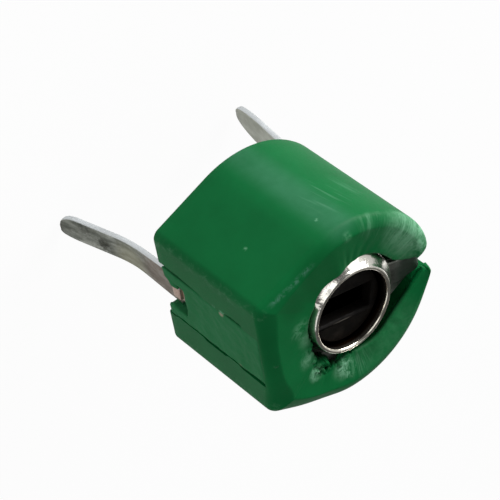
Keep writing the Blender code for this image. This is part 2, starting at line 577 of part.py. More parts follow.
def make_rotor_terminal(material):
    # Eye round the spindle, two arms held down by the lip, and a strip that leaves through the gap.
    eye = SPINDLE_RADIUS + FIT
    profile = [(eye, RING_LEVEL), (eye + RING_WIDTH, RING_LEVEL)]
    collar_steps = 4
    for k in range(collar_steps + 1):
        turn = math.pi / 2 * k / collar_steps
        profile.append((eye + RING_WIDTH - (RING_WIDTH - COLLAR_WALL) * math.sin(turn),
                        RING_LEVEL + STRIP + COLLAR_FLARE * (1 - math.cos(turn))))
    profile.append((eye + COLLAR_WALL, RING_LEVEL + STRIP + COLLAR_HEIGHT))
    profile.append((eye, RING_LEVEL + STRIP + COLLAR_HEIGHT))
    ring = make_object("rotor_terminal", turned_mesh(profile), material)
    for number, angle in enumerate(ARM_ANGLES):
        arm = box_mesh((eye + RING_WIDTH / 2, -ARM_WIDTH / 2, RING_LEVEL),
                       (ARM_REACH, ARM_WIDTH / 2, RING_LEVEL + STRIP))
        turn = Matrix.Rotation(math.radians(angle), 3, "Z")
        bmesh.ops.rotate(arm, verts=arm.verts, cent=(0, 0, 0), matrix=turn)
        combine(ring, make_cutter("rotor_arm_%d" % (number + 1), arm), "UNION")
    # On one side the eye widens into the strip in a straight line, over a web of the same sheet.
    eye_edge = eye + RING_WIDTH
    root = arc_points(eye + RING_WIDTH / 2, WEB_ANGLE, 0.0, 12)
    web = raised_mesh(root + [(ARM_REACH, ROTOR_STRIP_OFFSET), (ARM_REACH, -WEB_DEPTH)],
                      RING_LEVEL + WEB_RELIEF, RING_LEVEL + STRIP - WEB_RELIEF)
    combine(ring, make_cutter("rotor_web", web), "UNION")
    face = LEAD_FACE - STRIP / 2
    level = RING_LEVEL + STRIP / 2
    corners = [(eye_edge - RING_WIDTH / 2, level), (eye_edge + RING_WIDTH / 2, level),
               (eye_edge + RING_WIDTH / 2 + 2 * ROTOR_STRIP_RISE, level + ROTOR_STRIP_RISE),
               (face, level + ROTOR_STRIP_RISE), (face, LEAD_ROOT_TOP + STRIP / 2)]
    bend = [(x, z, LEAD_WIDTH, ROTOR_STRIP_OFFSET) for x, z in fold_path(corners, BEND_RADIUS + STRIP / 2)]
    lead = lead_run(1, ROTOR_LEAD_LENGTH, ROTOR_LEAD_WIDTH, ROTOR_LEAD_WIDTH, ROTOR_LEAD_NOSE,
                    ROTOR_NOSE_BIAS, ROTOR_LEAD_SPLAY, ROTOR_SPLAY_START, ROTOR_LEAD_OFFSET)
    strip = make_cutter("rotor_strip", strip_mesh(bend + lead))
    combine(ring, strip, "UNION")
    return ring


def flatted_outline(radius, flats):
    # A circle with two flats that face +Y and -Y.
    limit = math.degrees(math.asin(flats / radius))
    return arc_points(radius, -limit, limit, 16) + arc_points(radius, 180 - limit, 180 + limit, 16)


def make_spindle(material, turning):
    rivet_top = RIVET_LEVEL + RIVET_THICKNESS
    flange_top = FLANGE_LEVEL + FLANGE_THICKNESS
    profile = [(JOURNAL_BORE, RIVET_LEVEL), (RIVET_RADIUS, RIVET_LEVEL), (RIVET_RADIUS, rivet_top),
               (JOURNAL_RADIUS, rivet_top), (JOURNAL_RADIUS, FLANGE_LEVEL), (FLANGE_RADIUS, FLANGE_LEVEL),
               (FLANGE_RADIUS, flange_top), (SPINDLE_RADIUS, flange_top)]
    rim_steps = 4
    for k in range(rim_steps + 1):
        turn = math.pi / 2 * k / rim_steps
        profile.append((SPINDLE_RADIUS - SPINDLE_LIP * (1 - math.cos(turn)),
                        SPINDLE_TOP - SPINDLE_LIP * (1 - math.sin(turn))))
    for k in range(rim_steps + 1):
        turn = math.pi / 2 * k / rim_steps
        profile.append((SPINDLE_BORE + SPINDLE_LIP * (1 - math.sin(turn)),
                        SPINDLE_TOP - SPINDLE_LIP * (1 - math.cos(turn))))
    profile += [(SPINDLE_BORE, DRIVER_SEAT - FIT), (JOURNAL_BORE, DRIVER_SEAT - FIT)]
    spindle = make_object("spindle", turned_mesh(profile), material, parent=turning)
    for side in (-1, 1):
        near, far = sorted((side * FLATS, side * (JOURNAL_RADIUS + FIT)))
        flat = box_mesh((-JOURNAL_RADIUS, near, DISC_LEVEL - FIT / 2), (JOURNAL_RADIUS, far, FLANGE_LEVEL))
        name = "spindle_flat_%s_cutter" % ("left" if side < 0 else "right")
        combine(spindle, make_cutter(name, flat), "DIFFERENCE")
    return spindle


def make_driver_disc(material, turning):
    disc = make_object("driver_disc", turned_cylinder(SPINDLE_BORE - DRIVER_FIT, DRIVER_SEAT, DRIVER_TOP),
                       material, parent=turning)
    half_length = SLOT_LENGTH / 2
    half_width = SLOT_WIDTH / 2
    turn = Matrix.Rotation(math.radians(SLOT_ANGLE), 3, "Z")
    slot = bmesh.new()
    levels = [(DRIVER_SEAT - CASE_WALL, 0.0), (DRIVER_TOP - SLOT_CHAMFER, 0.0),
              (DRIVER_TOP + SLOT_CHAMFER, 2 * SLOT_CHAMFER)]
    rings = []
    for level, grow in levels:
        a, b = half_length + grow, half_width + grow
        rings.append([slot.verts.new((x, y, level)) for x, y in ((a, b), (-a, b), (-a, -b), (a, -b))])
    for here, after in zip(rings, rings[1:]):
        for k in range(4):
            slot.faces.new((here[k], here[(k + 1) % 4], after[(k + 1) % 4], after[k]))
    slot.faces.new(list(reversed(rings[0])))
    slot.faces.new(rings[-1])
    bmesh.ops.rotate(slot, verts=slot.verts, cent=(0, 0, 0), matrix=turn)
    combine(disc, make_cutter("driver_slot_cutter", slot), "DIFFERENCE")
    return disc


def make_rotor_disc(material, turning):
    body = turned_cylinder(ROTOR_DISC_RADIUS, DISC_LEVEL, DISC_LEVEL + ROTOR_DISC_THICKNESS)
    disc = make_object("rotor_disc", body, material, parent=turning)
    hole = raised_mesh(flatted_outline(JOURNAL_RADIUS + FIT, FLATS + FIT), DISC_LEVEL - CASE_WALL,
                       DISC_LEVEL + ROTOR_DISC_THICKNESS + CASE_WALL)
    combine(disc, make_cutter("rotor_disc_hole_cutter", hole), "DIFFERENCE")
    return disc


def make_rotor_electrode(material, turning):
    outline = arc_points(ELECTRODE_RADIUS, -90.0, 90.0, 32)
    back = -JOURNAL_RADIUS - ELECTRODE_RIM
    outline += [(back, ELECTRODE_RADIUS), (back, -ELECTRODE_RADIUS)]
    trimmed = []
    for x, y in outline:
        limit = math.sqrt(max(ELECTRODE_RADIUS ** 2 - x * x, 0.0))
        trimmed.append((x, max(-limit, min(limit, y))))
    electrode = make_object("rotor_electrode",
                            raised_mesh(trimmed, ELECTRODE_LEVEL, ELECTRODE_LEVEL + ELECTRODE_THICKNESS),
                            material, parent=turning)
    hole = raised_mesh(flatted_outline(JOURNAL_RADIUS + FIT, FLATS + FIT), ELECTRODE_LEVEL - CASE_WALL,
                       ELECTRODE_LEVEL + ELECTRODE_THICKNESS + CASE_WALL)
    combine(electrode, make_cutter("rotor_electrode_hole_cutter", hole), "DIFFERENCE")
    return electrode


def make_contact_spring(material, turning):
    # A dished washer. Notches in its outer edge leave springy fingers.
    hole = SPINDLE_RADIUS + FIT
    inner = SPRING_LEVEL + SPRING_RISE
    profile = [(hole, inner), (SPRING_RADIUS, SPRING_LEVEL),
               (SPRING_RADIUS, SPRING_LEVEL + SPRING_THICKNESS), (hole, inner + SPRING_THICKNESS)]
    spring = make_object("contact_spring", turned_mesh(profile), material, parent=turning)
    for number in range(SPRING_NOTCHES):
        half = SPRING_NOTCH_WIDTH / 2
        notch = box_mesh((SPRING_RADIUS - SPRING_NOTCH_DEPTH, -half, SPRING_LEVEL - FIT / 2),
                         (SPRING_RADIUS + CASE_WALL, half, RING_LEVEL))
        turn = Matrix.Rotation(2 * math.pi * (number + 0.5) / SPRING_NOTCHES, 3, "Z")
        bmesh.ops.rotate(notch, verts=notch.verts, cent=(0, 0, 0), matrix=turn)
        combine(spring, make_cutter("spring_notch_%d_cutter" % (number + 1), notch), "DIFFERENCE")
    return spring


def make_thrust_washer(material):
    hole = JOURNAL_RADIUS + RUNNING_FIT
    profile = [(hole, WASHER_LEVEL), (WASHER_RADIUS, WASHER_LEVEL),
               (WASHER_RADIUS, WASHER_LEVEL + WASHER_THICKNESS), (hole, WASHER_LEVEL + WASHER_THICKNESS)]
    return make_object("thrust_washer", turned_mesh(profile), material)


def build():
    clear_scene()
    green = make_material("moulded_green_plastic", (0.010, 0.130, 0.045), 0.38, 0.0)
    panel_green = make_material("matt_green_insulator", (0.030, 0.110, 0.055), 0.60, 0.0)
    tinned = make_material("tinned_brass", (0.42, 0.41, 0.36), 0.42, 1.0)
    plated = make_material("polished_nickel_plate", (0.78, 0.76, 0.70), 0.16, 1.0)
    oxidised = make_material("blackened_brass", (0.02, 0.018, 0.015), 0.45, 0.6)
    ceramic = make_material("fired_ceramic", (0.45, 0.34, 0.26), 0.55, 0.0)
    silver = make_material("fired_silver", (0.62, 0.60, 0.56), 0.40, 1.0)
    bronze = make_material("spring_bronze", (0.52, 0.34, 0.20), 0.35, 1.0)
    fibre = make_material("hard_fibre", (0.20, 0.09, 0.04), 0.80, 0.0)

    turning = bpy.data.objects.new("turning_axis", None)
    bpy.context.collection.objects.link(turning)

    make_case(green)
    make_terminal_block(panel_green)
    make_stator_terminal(tinned)
    make_rotor_terminal(tinned)
    make_thrust_washer(fibre)
    make_spindle(plated, turning)
    make_driver_disc(oxidised, turning)
    make_rotor_disc(ceramic, turning)
    make_rotor_electrode(silver, turning)
    make_contact_spring(bronze, turning)


build()
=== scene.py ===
import math

import bmesh
import bpy
from mathutils import Matrix, Vector, noise


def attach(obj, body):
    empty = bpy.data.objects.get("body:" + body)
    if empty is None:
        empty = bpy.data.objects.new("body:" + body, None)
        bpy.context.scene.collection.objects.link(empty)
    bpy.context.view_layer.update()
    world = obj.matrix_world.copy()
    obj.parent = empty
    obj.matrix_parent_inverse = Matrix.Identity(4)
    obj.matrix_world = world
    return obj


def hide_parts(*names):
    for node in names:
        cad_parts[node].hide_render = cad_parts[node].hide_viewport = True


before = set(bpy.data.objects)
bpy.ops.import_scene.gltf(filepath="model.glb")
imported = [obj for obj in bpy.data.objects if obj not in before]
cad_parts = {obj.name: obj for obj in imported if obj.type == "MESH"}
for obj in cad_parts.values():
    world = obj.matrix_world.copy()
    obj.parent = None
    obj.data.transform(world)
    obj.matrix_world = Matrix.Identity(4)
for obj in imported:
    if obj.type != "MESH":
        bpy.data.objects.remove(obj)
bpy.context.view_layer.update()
mm = 0.001
# Without a seed, vector noise would take its offsets from the clock.
noise.seed_set(1)


# Shared helpers. Shapes are worked out in millimetres and scaled once, as each piece is finished.

def linear(code):
    parts = [int(code[k:k + 2], 16) / 255 for k in (0, 2, 4)]
    return tuple(p / 12.92 if p <= 0.04045 else ((p + 0.055) / 1.055) ** 2.4 for p in parts) + (1.0,)


def addNode(tree, kind, settings=None, links=None, out=None):
    # A setting is one of the node's own properties, or else the value of one of its inputs.
    # With out, the result is that output of the node, in place of the node itself.
    node = tree.nodes.new("ShaderNode" + kind)
    for key, value in (settings or {}).items():
        if isinstance(key, str) and hasattr(node, key):
            setattr(node, key, value)
        else:
            node.inputs[key].default_value = value
    for key, source in (links or {}).items():
        tree.links.new(source, node.inputs[key])
    return node if out is None else node.outputs[out]


def newMaterial(name):
    # The place is the piece's own coordinates, in millimetres.
    material = bpy.data.materials.new(name)
    material.use_nodes = True
    tree = material.node_tree
    shader = tree.nodes["Principled BSDF"]
    own = addNode(tree, "TexCoord", out="Object")
    place = addNode(tree, "VectorMath", {"operation": "SCALE", "Scale": 1 / mm}, {0: own}, 0)
    return material, tree, shader, place


def bump(value, middle, spread):
    return math.exp(-((value - middle) / spread) ** 2)


def finish(name, bm, material, body, nodes, sharp):
    bmesh.ops.scale(bm, vec=(mm, mm, mm), verts=bm.verts)
    bmesh.ops.recalc_face_normals(bm, faces=bm.faces)
    mesh = bpy.data.meshes.new(name)
    bm.to_mesh(mesh)
    bm.free()
    piece = bpy.data.objects.new(name, mesh)
    bpy.context.collection.objects.link(piece)
    mesh.materials.append(material)
    mesh.shade_smooth()
    mesh.set_sharp_from_angle(angle=math.radians(sharp))
    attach(piece, body)
    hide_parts(*nodes)
    return piece


def combine(bm, others, operation="DIFFERENCE"):
    # One exact Boolean after another. The tools are thrown away.
    meshes = []
    for k, source in enumerate([bm] + others):
        bmesh.ops.recalc_face_normals(source, faces=source.faces)
        mesh = bpy.data.meshes.new("tool%d" % k)
        source.to_mesh(mesh)
        source.free()
        meshes.append(bpy.data.objects.new("tool%d" % k, mesh))
        bpy.context.collection.objects.link(meshes[-1])
    for tool in meshes[1:]:
        modifier = meshes[0].modifiers.new("join", "BOOLEAN")
        modifier.operation = operation
        modifier.object = tool
        modifier.solver = "EXACT"
    graph = bpy.context.evaluated_depsgraph_get()
    result = bmesh.new()
    result.from_object(meshes[0], graph)
    for item in meshes:
        bpy.data.meshes.remove(item.data, do_unlink=True)
    return result


def box(low, high):
    bm = bmesh.new()
    size = [b - a for a, b in zip(low, high)]
    middle = [(a + b) / 2 for a, b in zip(low, high)]
    bmesh.ops.create_cube(bm, size=1.0, matrix=Matrix.Translation(middle) @ Matrix.Diagonal((*size, 1.0)))
    return bm


def prism(outline, low, high, upright=False):
    # An outline of (x, z) points, extruded along Y, or of (x, y) points, extruded upwards.
    bm = bmesh.new()
    face = bm.faces.new([bm.verts.new((x, y, low) if upright else (x, low, y)) for x, y in outline])
    far = bmesh.ops.extrude_face_region(bm, geom=[face])["geom"]
    step = (0, 0, high - low) if upright else (0, high - low, 0)
    bmesh.ops.translate(bm, verts=[v for v in far if isinstance(v, bmesh.types.BMVert)], vec=step)
    return bm


def turned(profile, steps):
    # A closed loop of (radius, height) points spun round Z.
    bm = bmesh.new()
    verts = [bm.verts.new((radius, 0.0, height)) for radius, height in profile]
    edges = [bm.edges.new((verts[k - 1], verts[k])) for k in range(len(verts))]
    bmesh.ops.spin(bm, geom=verts + edges, cent=(0, 0, 0), axis=(0, 0, 1), angle=2 * math.pi, steps=steps,
                   use_merge=True)
    bmesh.ops.remove_doubles(bm, verts=bm.verts, dist=1e-5)
    return bm


def cadCopy(name):
    # The CAD mesh of a node, merged and with its flat triangles joined, in millimetres.
    bm = bmesh.new()
    bm.from_mesh(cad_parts[name].data)
    bmesh.ops.scale(bm, vec=(1 / mm, 1 / mm, 1 / mm), verts=bm.verts)
    bmesh.ops.remove_doubles(bm, verts=bm.verts, dist=1e-4)
    bmesh.ops.recalc_face_normals(bm, faces=bm.faces)
    bmesh.ops.dissolve_limit(bm, angle_limit=math.radians(0.5), verts=bm.verts, edges=bm.edges)
    return bm


# Case: a D-shaped cup whose rim has been folded in over the works with a hot tool.
# A swell is its height, its place in degrees and its spread. A stretch is its start, end and softness.
case = {
    "radius": 2.9995, "flat": 3.07, "sideTurn": 110.0, "corner": 0.32, "wall": 0.45, "floor": 0.45,
    "foot": 0.1, "top": 4.709, "underside": 4.31, "gapLevel": 4.05, "gapRound": 0.1,
    "run": 0.4, "drop": 0.32, "sag": 0.13, "mouth": 1.6, "edge": 0.11, "tornEdge": 0.35,
    "cornerAt": 148.9, "cornerSpread": 13.0, "upperRun": 0.14, "lowerRun": 0.22, "lowerDrop": 0.24,
    "creaseTurn": 48.0, "creased": (84, 236, 26), "crestSwell": (0.12, 26, 24),
    "sagSwells": ((-0.05, 112, 34), (-0.04, 98, 9)),
    "rolledEnd": 0.8, "rolledNose": 8.5, "rolledRun": 0.26, "rolledSpread": 9,
    "pointedEnd": -8.4, "pointedNose": 3.0, "pointedRun": 0.1, "pointedSpread": 14,
    "mouthSwells": ((0.36, 234, 17), (-0.16, 106, 34), (0.09, 120, 13)), "towardsGap": 0.16,
    "wide": (262, 318, 22), "widening": 0.09, "narrow": (146, 192, 14), "narrowing": 0.11,
    "pointedLine": 1.97, "pointedTurn": 55, "rolledLine": 1.43, "rolledTurn": 58, "blend": 30,
    "ragged": 0.12, "raggedPart": (186, 262, 14), "uneven": 0.012,
    "lumps": 0.035, "lumpyRolled": (16, 88, 12), "lumpyPointed": (-112, -40, 12),
    "slotLow": -0.57, "slotHigh": 0.53, "slotInside": 2.44, "slotOutside": 3.4, "slotFoot": -0.4,
    "stripTop": 4.41,
    # Degrees between stations on the round side, finer near the gap, and the numbers of steps elsewhere.
    "fine": 0.55, "fineUntil": 34, "coarse": 1.0, "sideSteps": 36, "cornerSteps": 10, "flatSteps": 34,
    "footSteps": 3, "wallSteps": 15, "shoulderSteps": 16, "lipSteps": 20, "edgeSteps": 14, "underSteps": 3,
    "innerSteps": 2,
    # The window in the flat side, as points across and up, whose uneven edges are the seams beside the panel.
    "window": ((-0.95, -0.4), (-0.95, 0.3), (-0.885, 0.5), (-0.885, 1.62), (-0.955, 1.75), (-0.96, 2.6),
               (-0.885, 2.75), (-0.885, 3.2), (-0.96, 3.35), (-0.97, 4.36), (0.89, 4.39), (0.89, 3.8),
               (1.02, 3.65), (1.03, 3.25), (0.98, 3.0), (0.89, 2.9), (0.89, 2.1), (0.97, 1.8), (1.02, 1.3),
               (1.05, 0.9), (1.06, 0.2), (1.02, -0.4)),
    # Lumps of torn plastic along the bay, each with its radius, and the part that is drawn into shreds.
    "torn": ((-1.13, -1.37, 4.47, 0.16), (-1.33, -1.24, 4.50, 0.14), (-0.98, -1.50, 4.44, 0.13),
             (-1.52, -0.98, 4.50, 0.12), (-0.62, -1.80, 4.50, 0.13), (-1.62, 0.10, 4.50, 0.10),
             (-1.58, -0.45, 4.52, 0.11), (-1.20, -1.52, 4.50, 0.10), (-1.44, -1.38, 4.52, 0.09),
             (-1.05, -1.28, 4.40, 0.09), (-0.82, -1.66, 4.46, 0.09)),
    "tornAt": (-1.1, -1.3, 4.5), "tornPart": (0.0, 0.30, 0.28), "tornAbove": 4.1, "shreds": 0.13,
}


def around(angle, scale, seed=0.0):
    # Smooth noise from -1 to 1 that closes on itself round the axis.
    turn = math.radians(angle)
    return noise.noise(Vector((math.cos(turn) * scale, math.sin(turn) * scale, seed)))


def window(value, low, high, soft):
    # 1 between low and high, falling smoothly to 0 over the soft stretch outside.
    inside = min((value - low) / soft + 1, (high - value) / soft + 1)
    t = min(max(inside, 0.0), 1.0)
    return t * t * (3 - 2 * t)


def caseStations():
    # Once round the case as (kind, value, side): degrees on the round side, shares of the straight ones.
    half = []
    angle = 0.0
    while angle < case["sideTurn"]:
        half.append(("round", angle))
        angle += case["fine"] if angle < case["fineUntil"] else case["coarse"]
    side, corner, flat = case["sideSteps"], case["cornerSteps"], case["flatSteps"]
    half += [("side", k / side) for k in range(side)]
    half += [("corner", case["sideTurn"] + (180 - case["sideTurn"]) * k / corner) for k in range(corner)]
    half += [("flat", k / flat) for k in range(flat + 1)]
    return [(*item, 1) for item in half] + [(*item, -1) for item in reversed(half[1:-1])]


def outlinePoint(station, inset):
    kind, value, side = station
    radius = case["radius"] - inset
    flat = case["flat"] - inset
    corner = max(case["corner"] - inset, 0.04)
    turn = math.radians(case["sideTurn"])
    centreX = corner - flat
    centreY = (radius - corner - centreX * math.cos(turn)) / math.sin(turn)
    if kind == "round":
        x, y = radius * math.cos(math.radians(value)), radius * math.sin(math.radians(value))
    elif kind == "side":
        start = (radius * math.cos(turn), radius * math.sin(turn))
        end = (centreX + corner * math.cos(turn), centreY + corner * math.sin(turn))
        x, y = (a + (b - a) * value for a, b in zip(start, end))
    elif kind == "corner":
        x = centreX + corner * math.cos(math.radians(value))
        y = centreY + corner * math.sin(math.radians(value))
    else:
        x, y = -flat, centreY * (1 - value)
    return x, y * side


def foldAmount(angle):
    # 1 where the lip is folded right over and 0 in the gap, with a rounded end on each side.
    if angle > 0:
        reach = (angle - case["rolledEnd"]) / case["rolledNose"]
    else:
        reach = (case["pointedEnd"] - angle) / case["pointedNose"]
    reach = min(max(reach, 0.0), 1.0)
    return math.sqrt(1 - (1 - reach) ** 2)


def swell(angle, bumps):
    return sum(height * bump(angle, middle, spread) for height, middle, spread in bumps)


def mouthRadius(angle):
    # The mouth hugs the spindle on the +Y side, has a ragged bay by the flat, and opens into a V at the gap.
    whole = angle % 360.0
    radius = case["mouth"] + case["towardsGap"] * max(math.cos(math.radians(angle)), 0.0)
    radius += swell(whole, case["mouthSwells"])
    radius += case["widening"] * window(whole, *case["wide"])
    radius -= case["narrowing"] * window(whole, *case["narrow"])
    torn = window(whole, *case["raggedPart"])
    radius += case["ragged"] * torn * (around(angle, 9.0, 3.1) + 0.6 * around(angle, 24.0, 7.7))
    radius += case["uneven"] * around(angle, 6.0, 1.3)
    line = 0.0
    if -90 < angle <= 0:
        slant = math.cos(math.radians(angle + case["pointedTurn"]))
        line = case["pointedLine"] / slant if angle > -case["pointedTurn"] else case["pointedLine"] * slant
    elif 0 < angle < case["rolledTurn"]:
        line = case["rolledLine"] / math.cos(math.radians(case["rolledTurn"] - angle))
    radius = (radius ** case["blend"] + line ** case["blend"]) ** (1 / case["blend"])
    return min(radius, case["radius"] - case["wall"] / 2)


def caseSection(station):
    # Matching points from the foot, up the wall, over the lip, round its edge and down inside.
    x, y = outlinePoint(station, 0.0)
    angle = math.degrees(math.atan2(y, x))
    whole = angle % 360.0
    towards = (math.cos(math.radians(angle)), math.sin(math.radians(angle)))
    upper = bump(angle, case["cornerAt"], case["cornerSpread"])
    lower = bump(angle, -case["cornerAt"], case["cornerSpread"])
    crest = case["top"] + swell(angle, [case["crestSwell"]])
    run = case["run"] + case["upperRun"] * upper + case["lowerRun"] * lower
    if angle > 0:
        run += case["rolledRun"] * bump(angle, case["rolledEnd"], case["rolledSpread"])
    else:
        run -= (case["run"] - case["pointedRun"]) * bump(angle, case["pointedEnd"], case["pointedSpread"])
    drop = case["drop"] + case["lowerDrop"] * lower
    sag = case["sag"] + swell(angle, case["sagSwells"])
    end = math.radians(90 - case["creaseTurn"] * window(whole, *case["creased"]))
    fold = foldAmount(angle)
    mouth = mouthRadius(angle)
    edge = case["edge"] * (1 - case["tornEdge"] * window(whole, *case["raggedPart"]))
    lumps = 0.25 + window(angle, *case["lumpyRolled"]) + 0.8 * window(angle, *case["lumpyPointed"])
    lumps *= case["lumps"]
    level, bend, wall, underside = (case[key] for key in ("gapLevel", "gapRound", "wall", "underside"))

    def inward(inset, radius, share):
        a = outlinePoint(station, inset)
        return tuple(p + (radius * q - p) * share for p, q in zip(a, towards))

    lip, gap = [], []

    def add(over, overZ, down, downZ):
        lip.append((*over, overZ))
        gap.append((*down, downZ))

    steps = case["footSteps"]
    for k in range(steps + 1):
        turn = math.pi / 2 * k / steps
        place = outlinePoint(station, case["foot"] * (1 - math.sin(turn)))
        add(place, case["foot"] * (1 - math.cos(turn)), place, case["foot"] * (1 - math.cos(turn)))
    low = case["foot"]
    steps = case["wallSteps"]
    for k in range(1, steps):
        add((x, y), low + (crest - drop - low) * k / steps, (x, y), low + (level - bend - low) * k / steps)
    steps = case["shoulderSteps"]
    for k in range(steps + 1):
        turn = end * k / steps
        gapTurn = math.pi / 2 * k / steps
        add(outlinePoint(station, run * (1 - math.cos(turn)) / (1 - math.cos(end))),
            crest - drop * (1 - math.sin(turn) / math.sin(end)),
            outlinePoint(station, bend * (1 - math.cos(gapTurn))), level - bend * (1 - math.sin(gapTurn)))
    steps = case["lipSteps"]
    for k in range(1, steps + 1):
        share = k / steps
        wave = lumps * share * (around(angle, 11.0, share * 1.2) - 0.55) * (1 - 0.4 * share)
        add(inward(run, mouth + edge, share), crest - sag * share + wave,
            outlinePoint(station, bend + (wall - 2 * bend) * share), level)
    low = crest - sag - 2 * edge
    wave = lip[-1][2] - (crest - sag)
    steps = case["edgeSteps"]
    for k in range(1, steps + 1):
        turn = math.pi * k / steps
        radius = mouth + edge * (1 - math.sin(turn))
        add((radius * towards[0], radius * towards[1]),
            low + edge * (1 + math.cos(turn)) + wave * (1 - k / steps),
            outlinePoint(station, wall - bend * (1 - math.sin(turn / 2))),
            level - bend * (1 - math.cos(turn / 2)))
    steps = case["underSteps"]
    for k in range(1, steps + 1):
        add(inward(wall, mouth + edge, 1 - k / steps), low + (underside - low) * k / steps,
            outlinePoint(station, wall), level - bend * (1 + k / steps))
    steps = case["innerSteps"]
    for k in range(1, steps + 1):
        place = outlinePoint(station, wall)
        add(place, underside + (case["floor"] - underside) * k / steps,
            place, level - 2 * bend + (case["floor"] - level + 2 * bend) * k / steps)
    return [tuple(b + (a - b) * fold for a, b in zip(over, down)) for over, down in zip(lip, gap)]


def makeCase(material):
    # A ladder of points is spun into a sleeve, and each vertex then moves to its own place on the case.
    stations = caseStations()
    sections = [caseSection(station) for station in stations]
    bm = bmesh.new()
    ladder = [bm.verts.new((10.0, 0.0, float(k))) for k in range(len(sections[0]))]
    edges = [bm.edges.new(pair) for pair in zip(ladder, ladder[1:])]
    bmesh.ops.spin(bm, geom=ladder + edges, cent=(0, 0, 0), axis=(0, 0, 1), angle=2 * math.pi,
                   steps=len(stations), use_merge=True)
    bmesh.ops.remove_doubles(bm, verts=bm.verts, dist=1e-4)
    for vert in bm.verts:
        turn = math.atan2(vert.co.y, vert.co.x) / (2 * math.pi) * len(stations)
        vert.co = sections[round(turn) % len(stations)][round(vert.co.z)]
    bmesh.ops.holes_fill(bm, edges=[edge for edge in bm.edges if edge.is_boundary], sides=0)
    opening = prism(case["window"], case["flat"] - case["wall"] * 1.25, case["flat"] + case["wall"])
    quarter = Matrix.Rotation(math.radians(90), 3, "Z")
    bmesh.ops.rotate(opening, verts=opening.verts, cent=(0, 0, 0), matrix=quarter)
    inside, outside, low = case["slotInside"], case["slotOutside"], case["slotFoot"]
    high, middle = case["stripTop"], case["gapLevel"]
    slot = prism([(inside, low), (outside, low), (outside, high), (case["mouth"], high),
                  (case["mouth"], middle), (inside, middle)], case["slotLow"], case["slotHigh"])
    bm = combine(bm, [opening, slot])
    torn = []
    for x, y, z, radius in case["torn"]:
        torn.append(bmesh.new())
        bmesh.ops.create_icosphere(torn[-1], subdivisions=3, radius=radius,
                                   matrix=Matrix.Translation((x, y, z)))
    bm = combine(bm, torn, "UNION")
    for vert in bm.verts:
        # Where the lip is torn, its plastic is drawn into shreds.
        away = (vert.co - Vector(case["tornAt"])).length
        near = window(away, *case["tornPart"]) * (vert.co.z > case["tornAbove"])
        if near:
            vert.co += case["shreds"] * near * noise.noise_vector(vert.co * 5.0)
            vert.co.z += case["shreds"] * near * (noise.noise(vert.co * 11.0) - 0.2)
    return finish("moulded_case", bm, material, "housing", ["case"], 40.0)


# Spindle: a thin hollow tube with a rolled rim, whose flange and riveted end are hidden in the works.
# Its profile runs from the riveted end up to the neck, over the rim, and from the bore down to the floor.
spindle = {
    "steps": 160, "bore": 1.25, "top": 4.735, "rim": 0.0725, "split": 69,
    "outside": ((0.7, 0.51), (1.25, 0.51), (1.25, 0.63), (1.0, 0.63), (1.0, 3.62), (1.95, 3.62), (1.95, 3.77),
                (1.37, 3.77), (1.37, 4.2), (1.345, 4.3), (1.345, 4.6)),
    "inside": ((1.25, 4.4), (1.19, 4.25), (1.19, 3.96), (0.7, 3.96)),
    "flatAt": 0.915, "flatDeep": 0.115, "flatLow": 2.725, "flatHigh": 3.62,
    "uneven": 0.003, "tilt": 0.012, "unevenFrom": 4.2, "unevenOver": 0.5,
}


def rimPoints(start, end, steps):
    # The half-round of the rim, from the outside (0 degrees) over the top to the bore (180 degrees).
    rim = spindle["rim"]
    middle, low = spindle["bore"] + rim, spindle["top"] - rim
    turns = [math.radians(start + (end - start) * k / steps) for k in range(steps + 1)]
    return [(middle + rim * math.cos(turn), low + rim * math.sin(turn)) for turn in turns]


def makeSpindle(material):
    profile = [*spindle["outside"], *rimPoints(spindle["split"], 180, 16), *spindle["inside"]]
    flats = []
    for side in (-spindle["flatAt"], spindle["flatAt"]):
        flats.append(box((-1.0, side - spindle["flatDeep"], spindle["flatLow"]),
                         (1.0, side + spindle["flatDeep"], spindle["flatHigh"])))
    bm = combine(turned(profile, spindle["steps"]), flats)
    for vert in bm.verts:
        # The rim is a little out of true.
        angle = math.degrees(math.atan2(vert.co.y, vert.co.x))
        share = min(max((vert.co.z - spindle["unevenFrom"]) / spindle["unevenOver"], 0.0), 1.0)
        vert.co.xy *= 1 - spindle["uneven"] * share * (0.5 + 0.5 * around(angle, 1.4, 2.0))
        vert.co.z -= spindle["tilt"] * share * (0.5 + 0.5 * around(angle, 2.2, 9.0))
    return finish("spindle_tube", bm, material, "rotor", ["spindle"], 40.0)


# Terminals: strip of one thickness, drawn as a bar with rounded edges that is then bent along a path.
strip = {"thick": 0.2, "round": 0.06, "fold": 0.23, "spacing": 0.05, "face": 2.87, "mouth": 0.52,
         "bend": 5.0, "bendSteps": 8, "nose": 0.26}


def roundedPath(corners, radius, steps=8):
    # A path of (x, z) points with its corners rounded off.
    path = [Vector(corners[0])]
    for before, corner, after in zip(corners, corners[1:], corners[2:]):
        corner = Vector(corner)
        a = (Vector(before) - corner).normalized()
        b = (Vector(after) - corner).normalized()
        half = a.angle(b) / 2
        centre = corner + (a + b).normalized() * radius / math.sin(half)
        start = corner + a * radius / math.tan(half) - centre
        end = corner + b * radius / math.tan(half) - centre
        for k in range(steps + 1):
            path.append(centre + start.slerp(end, k / steps) * radius)
    path.append(Vector(corners[-1]))
    return path


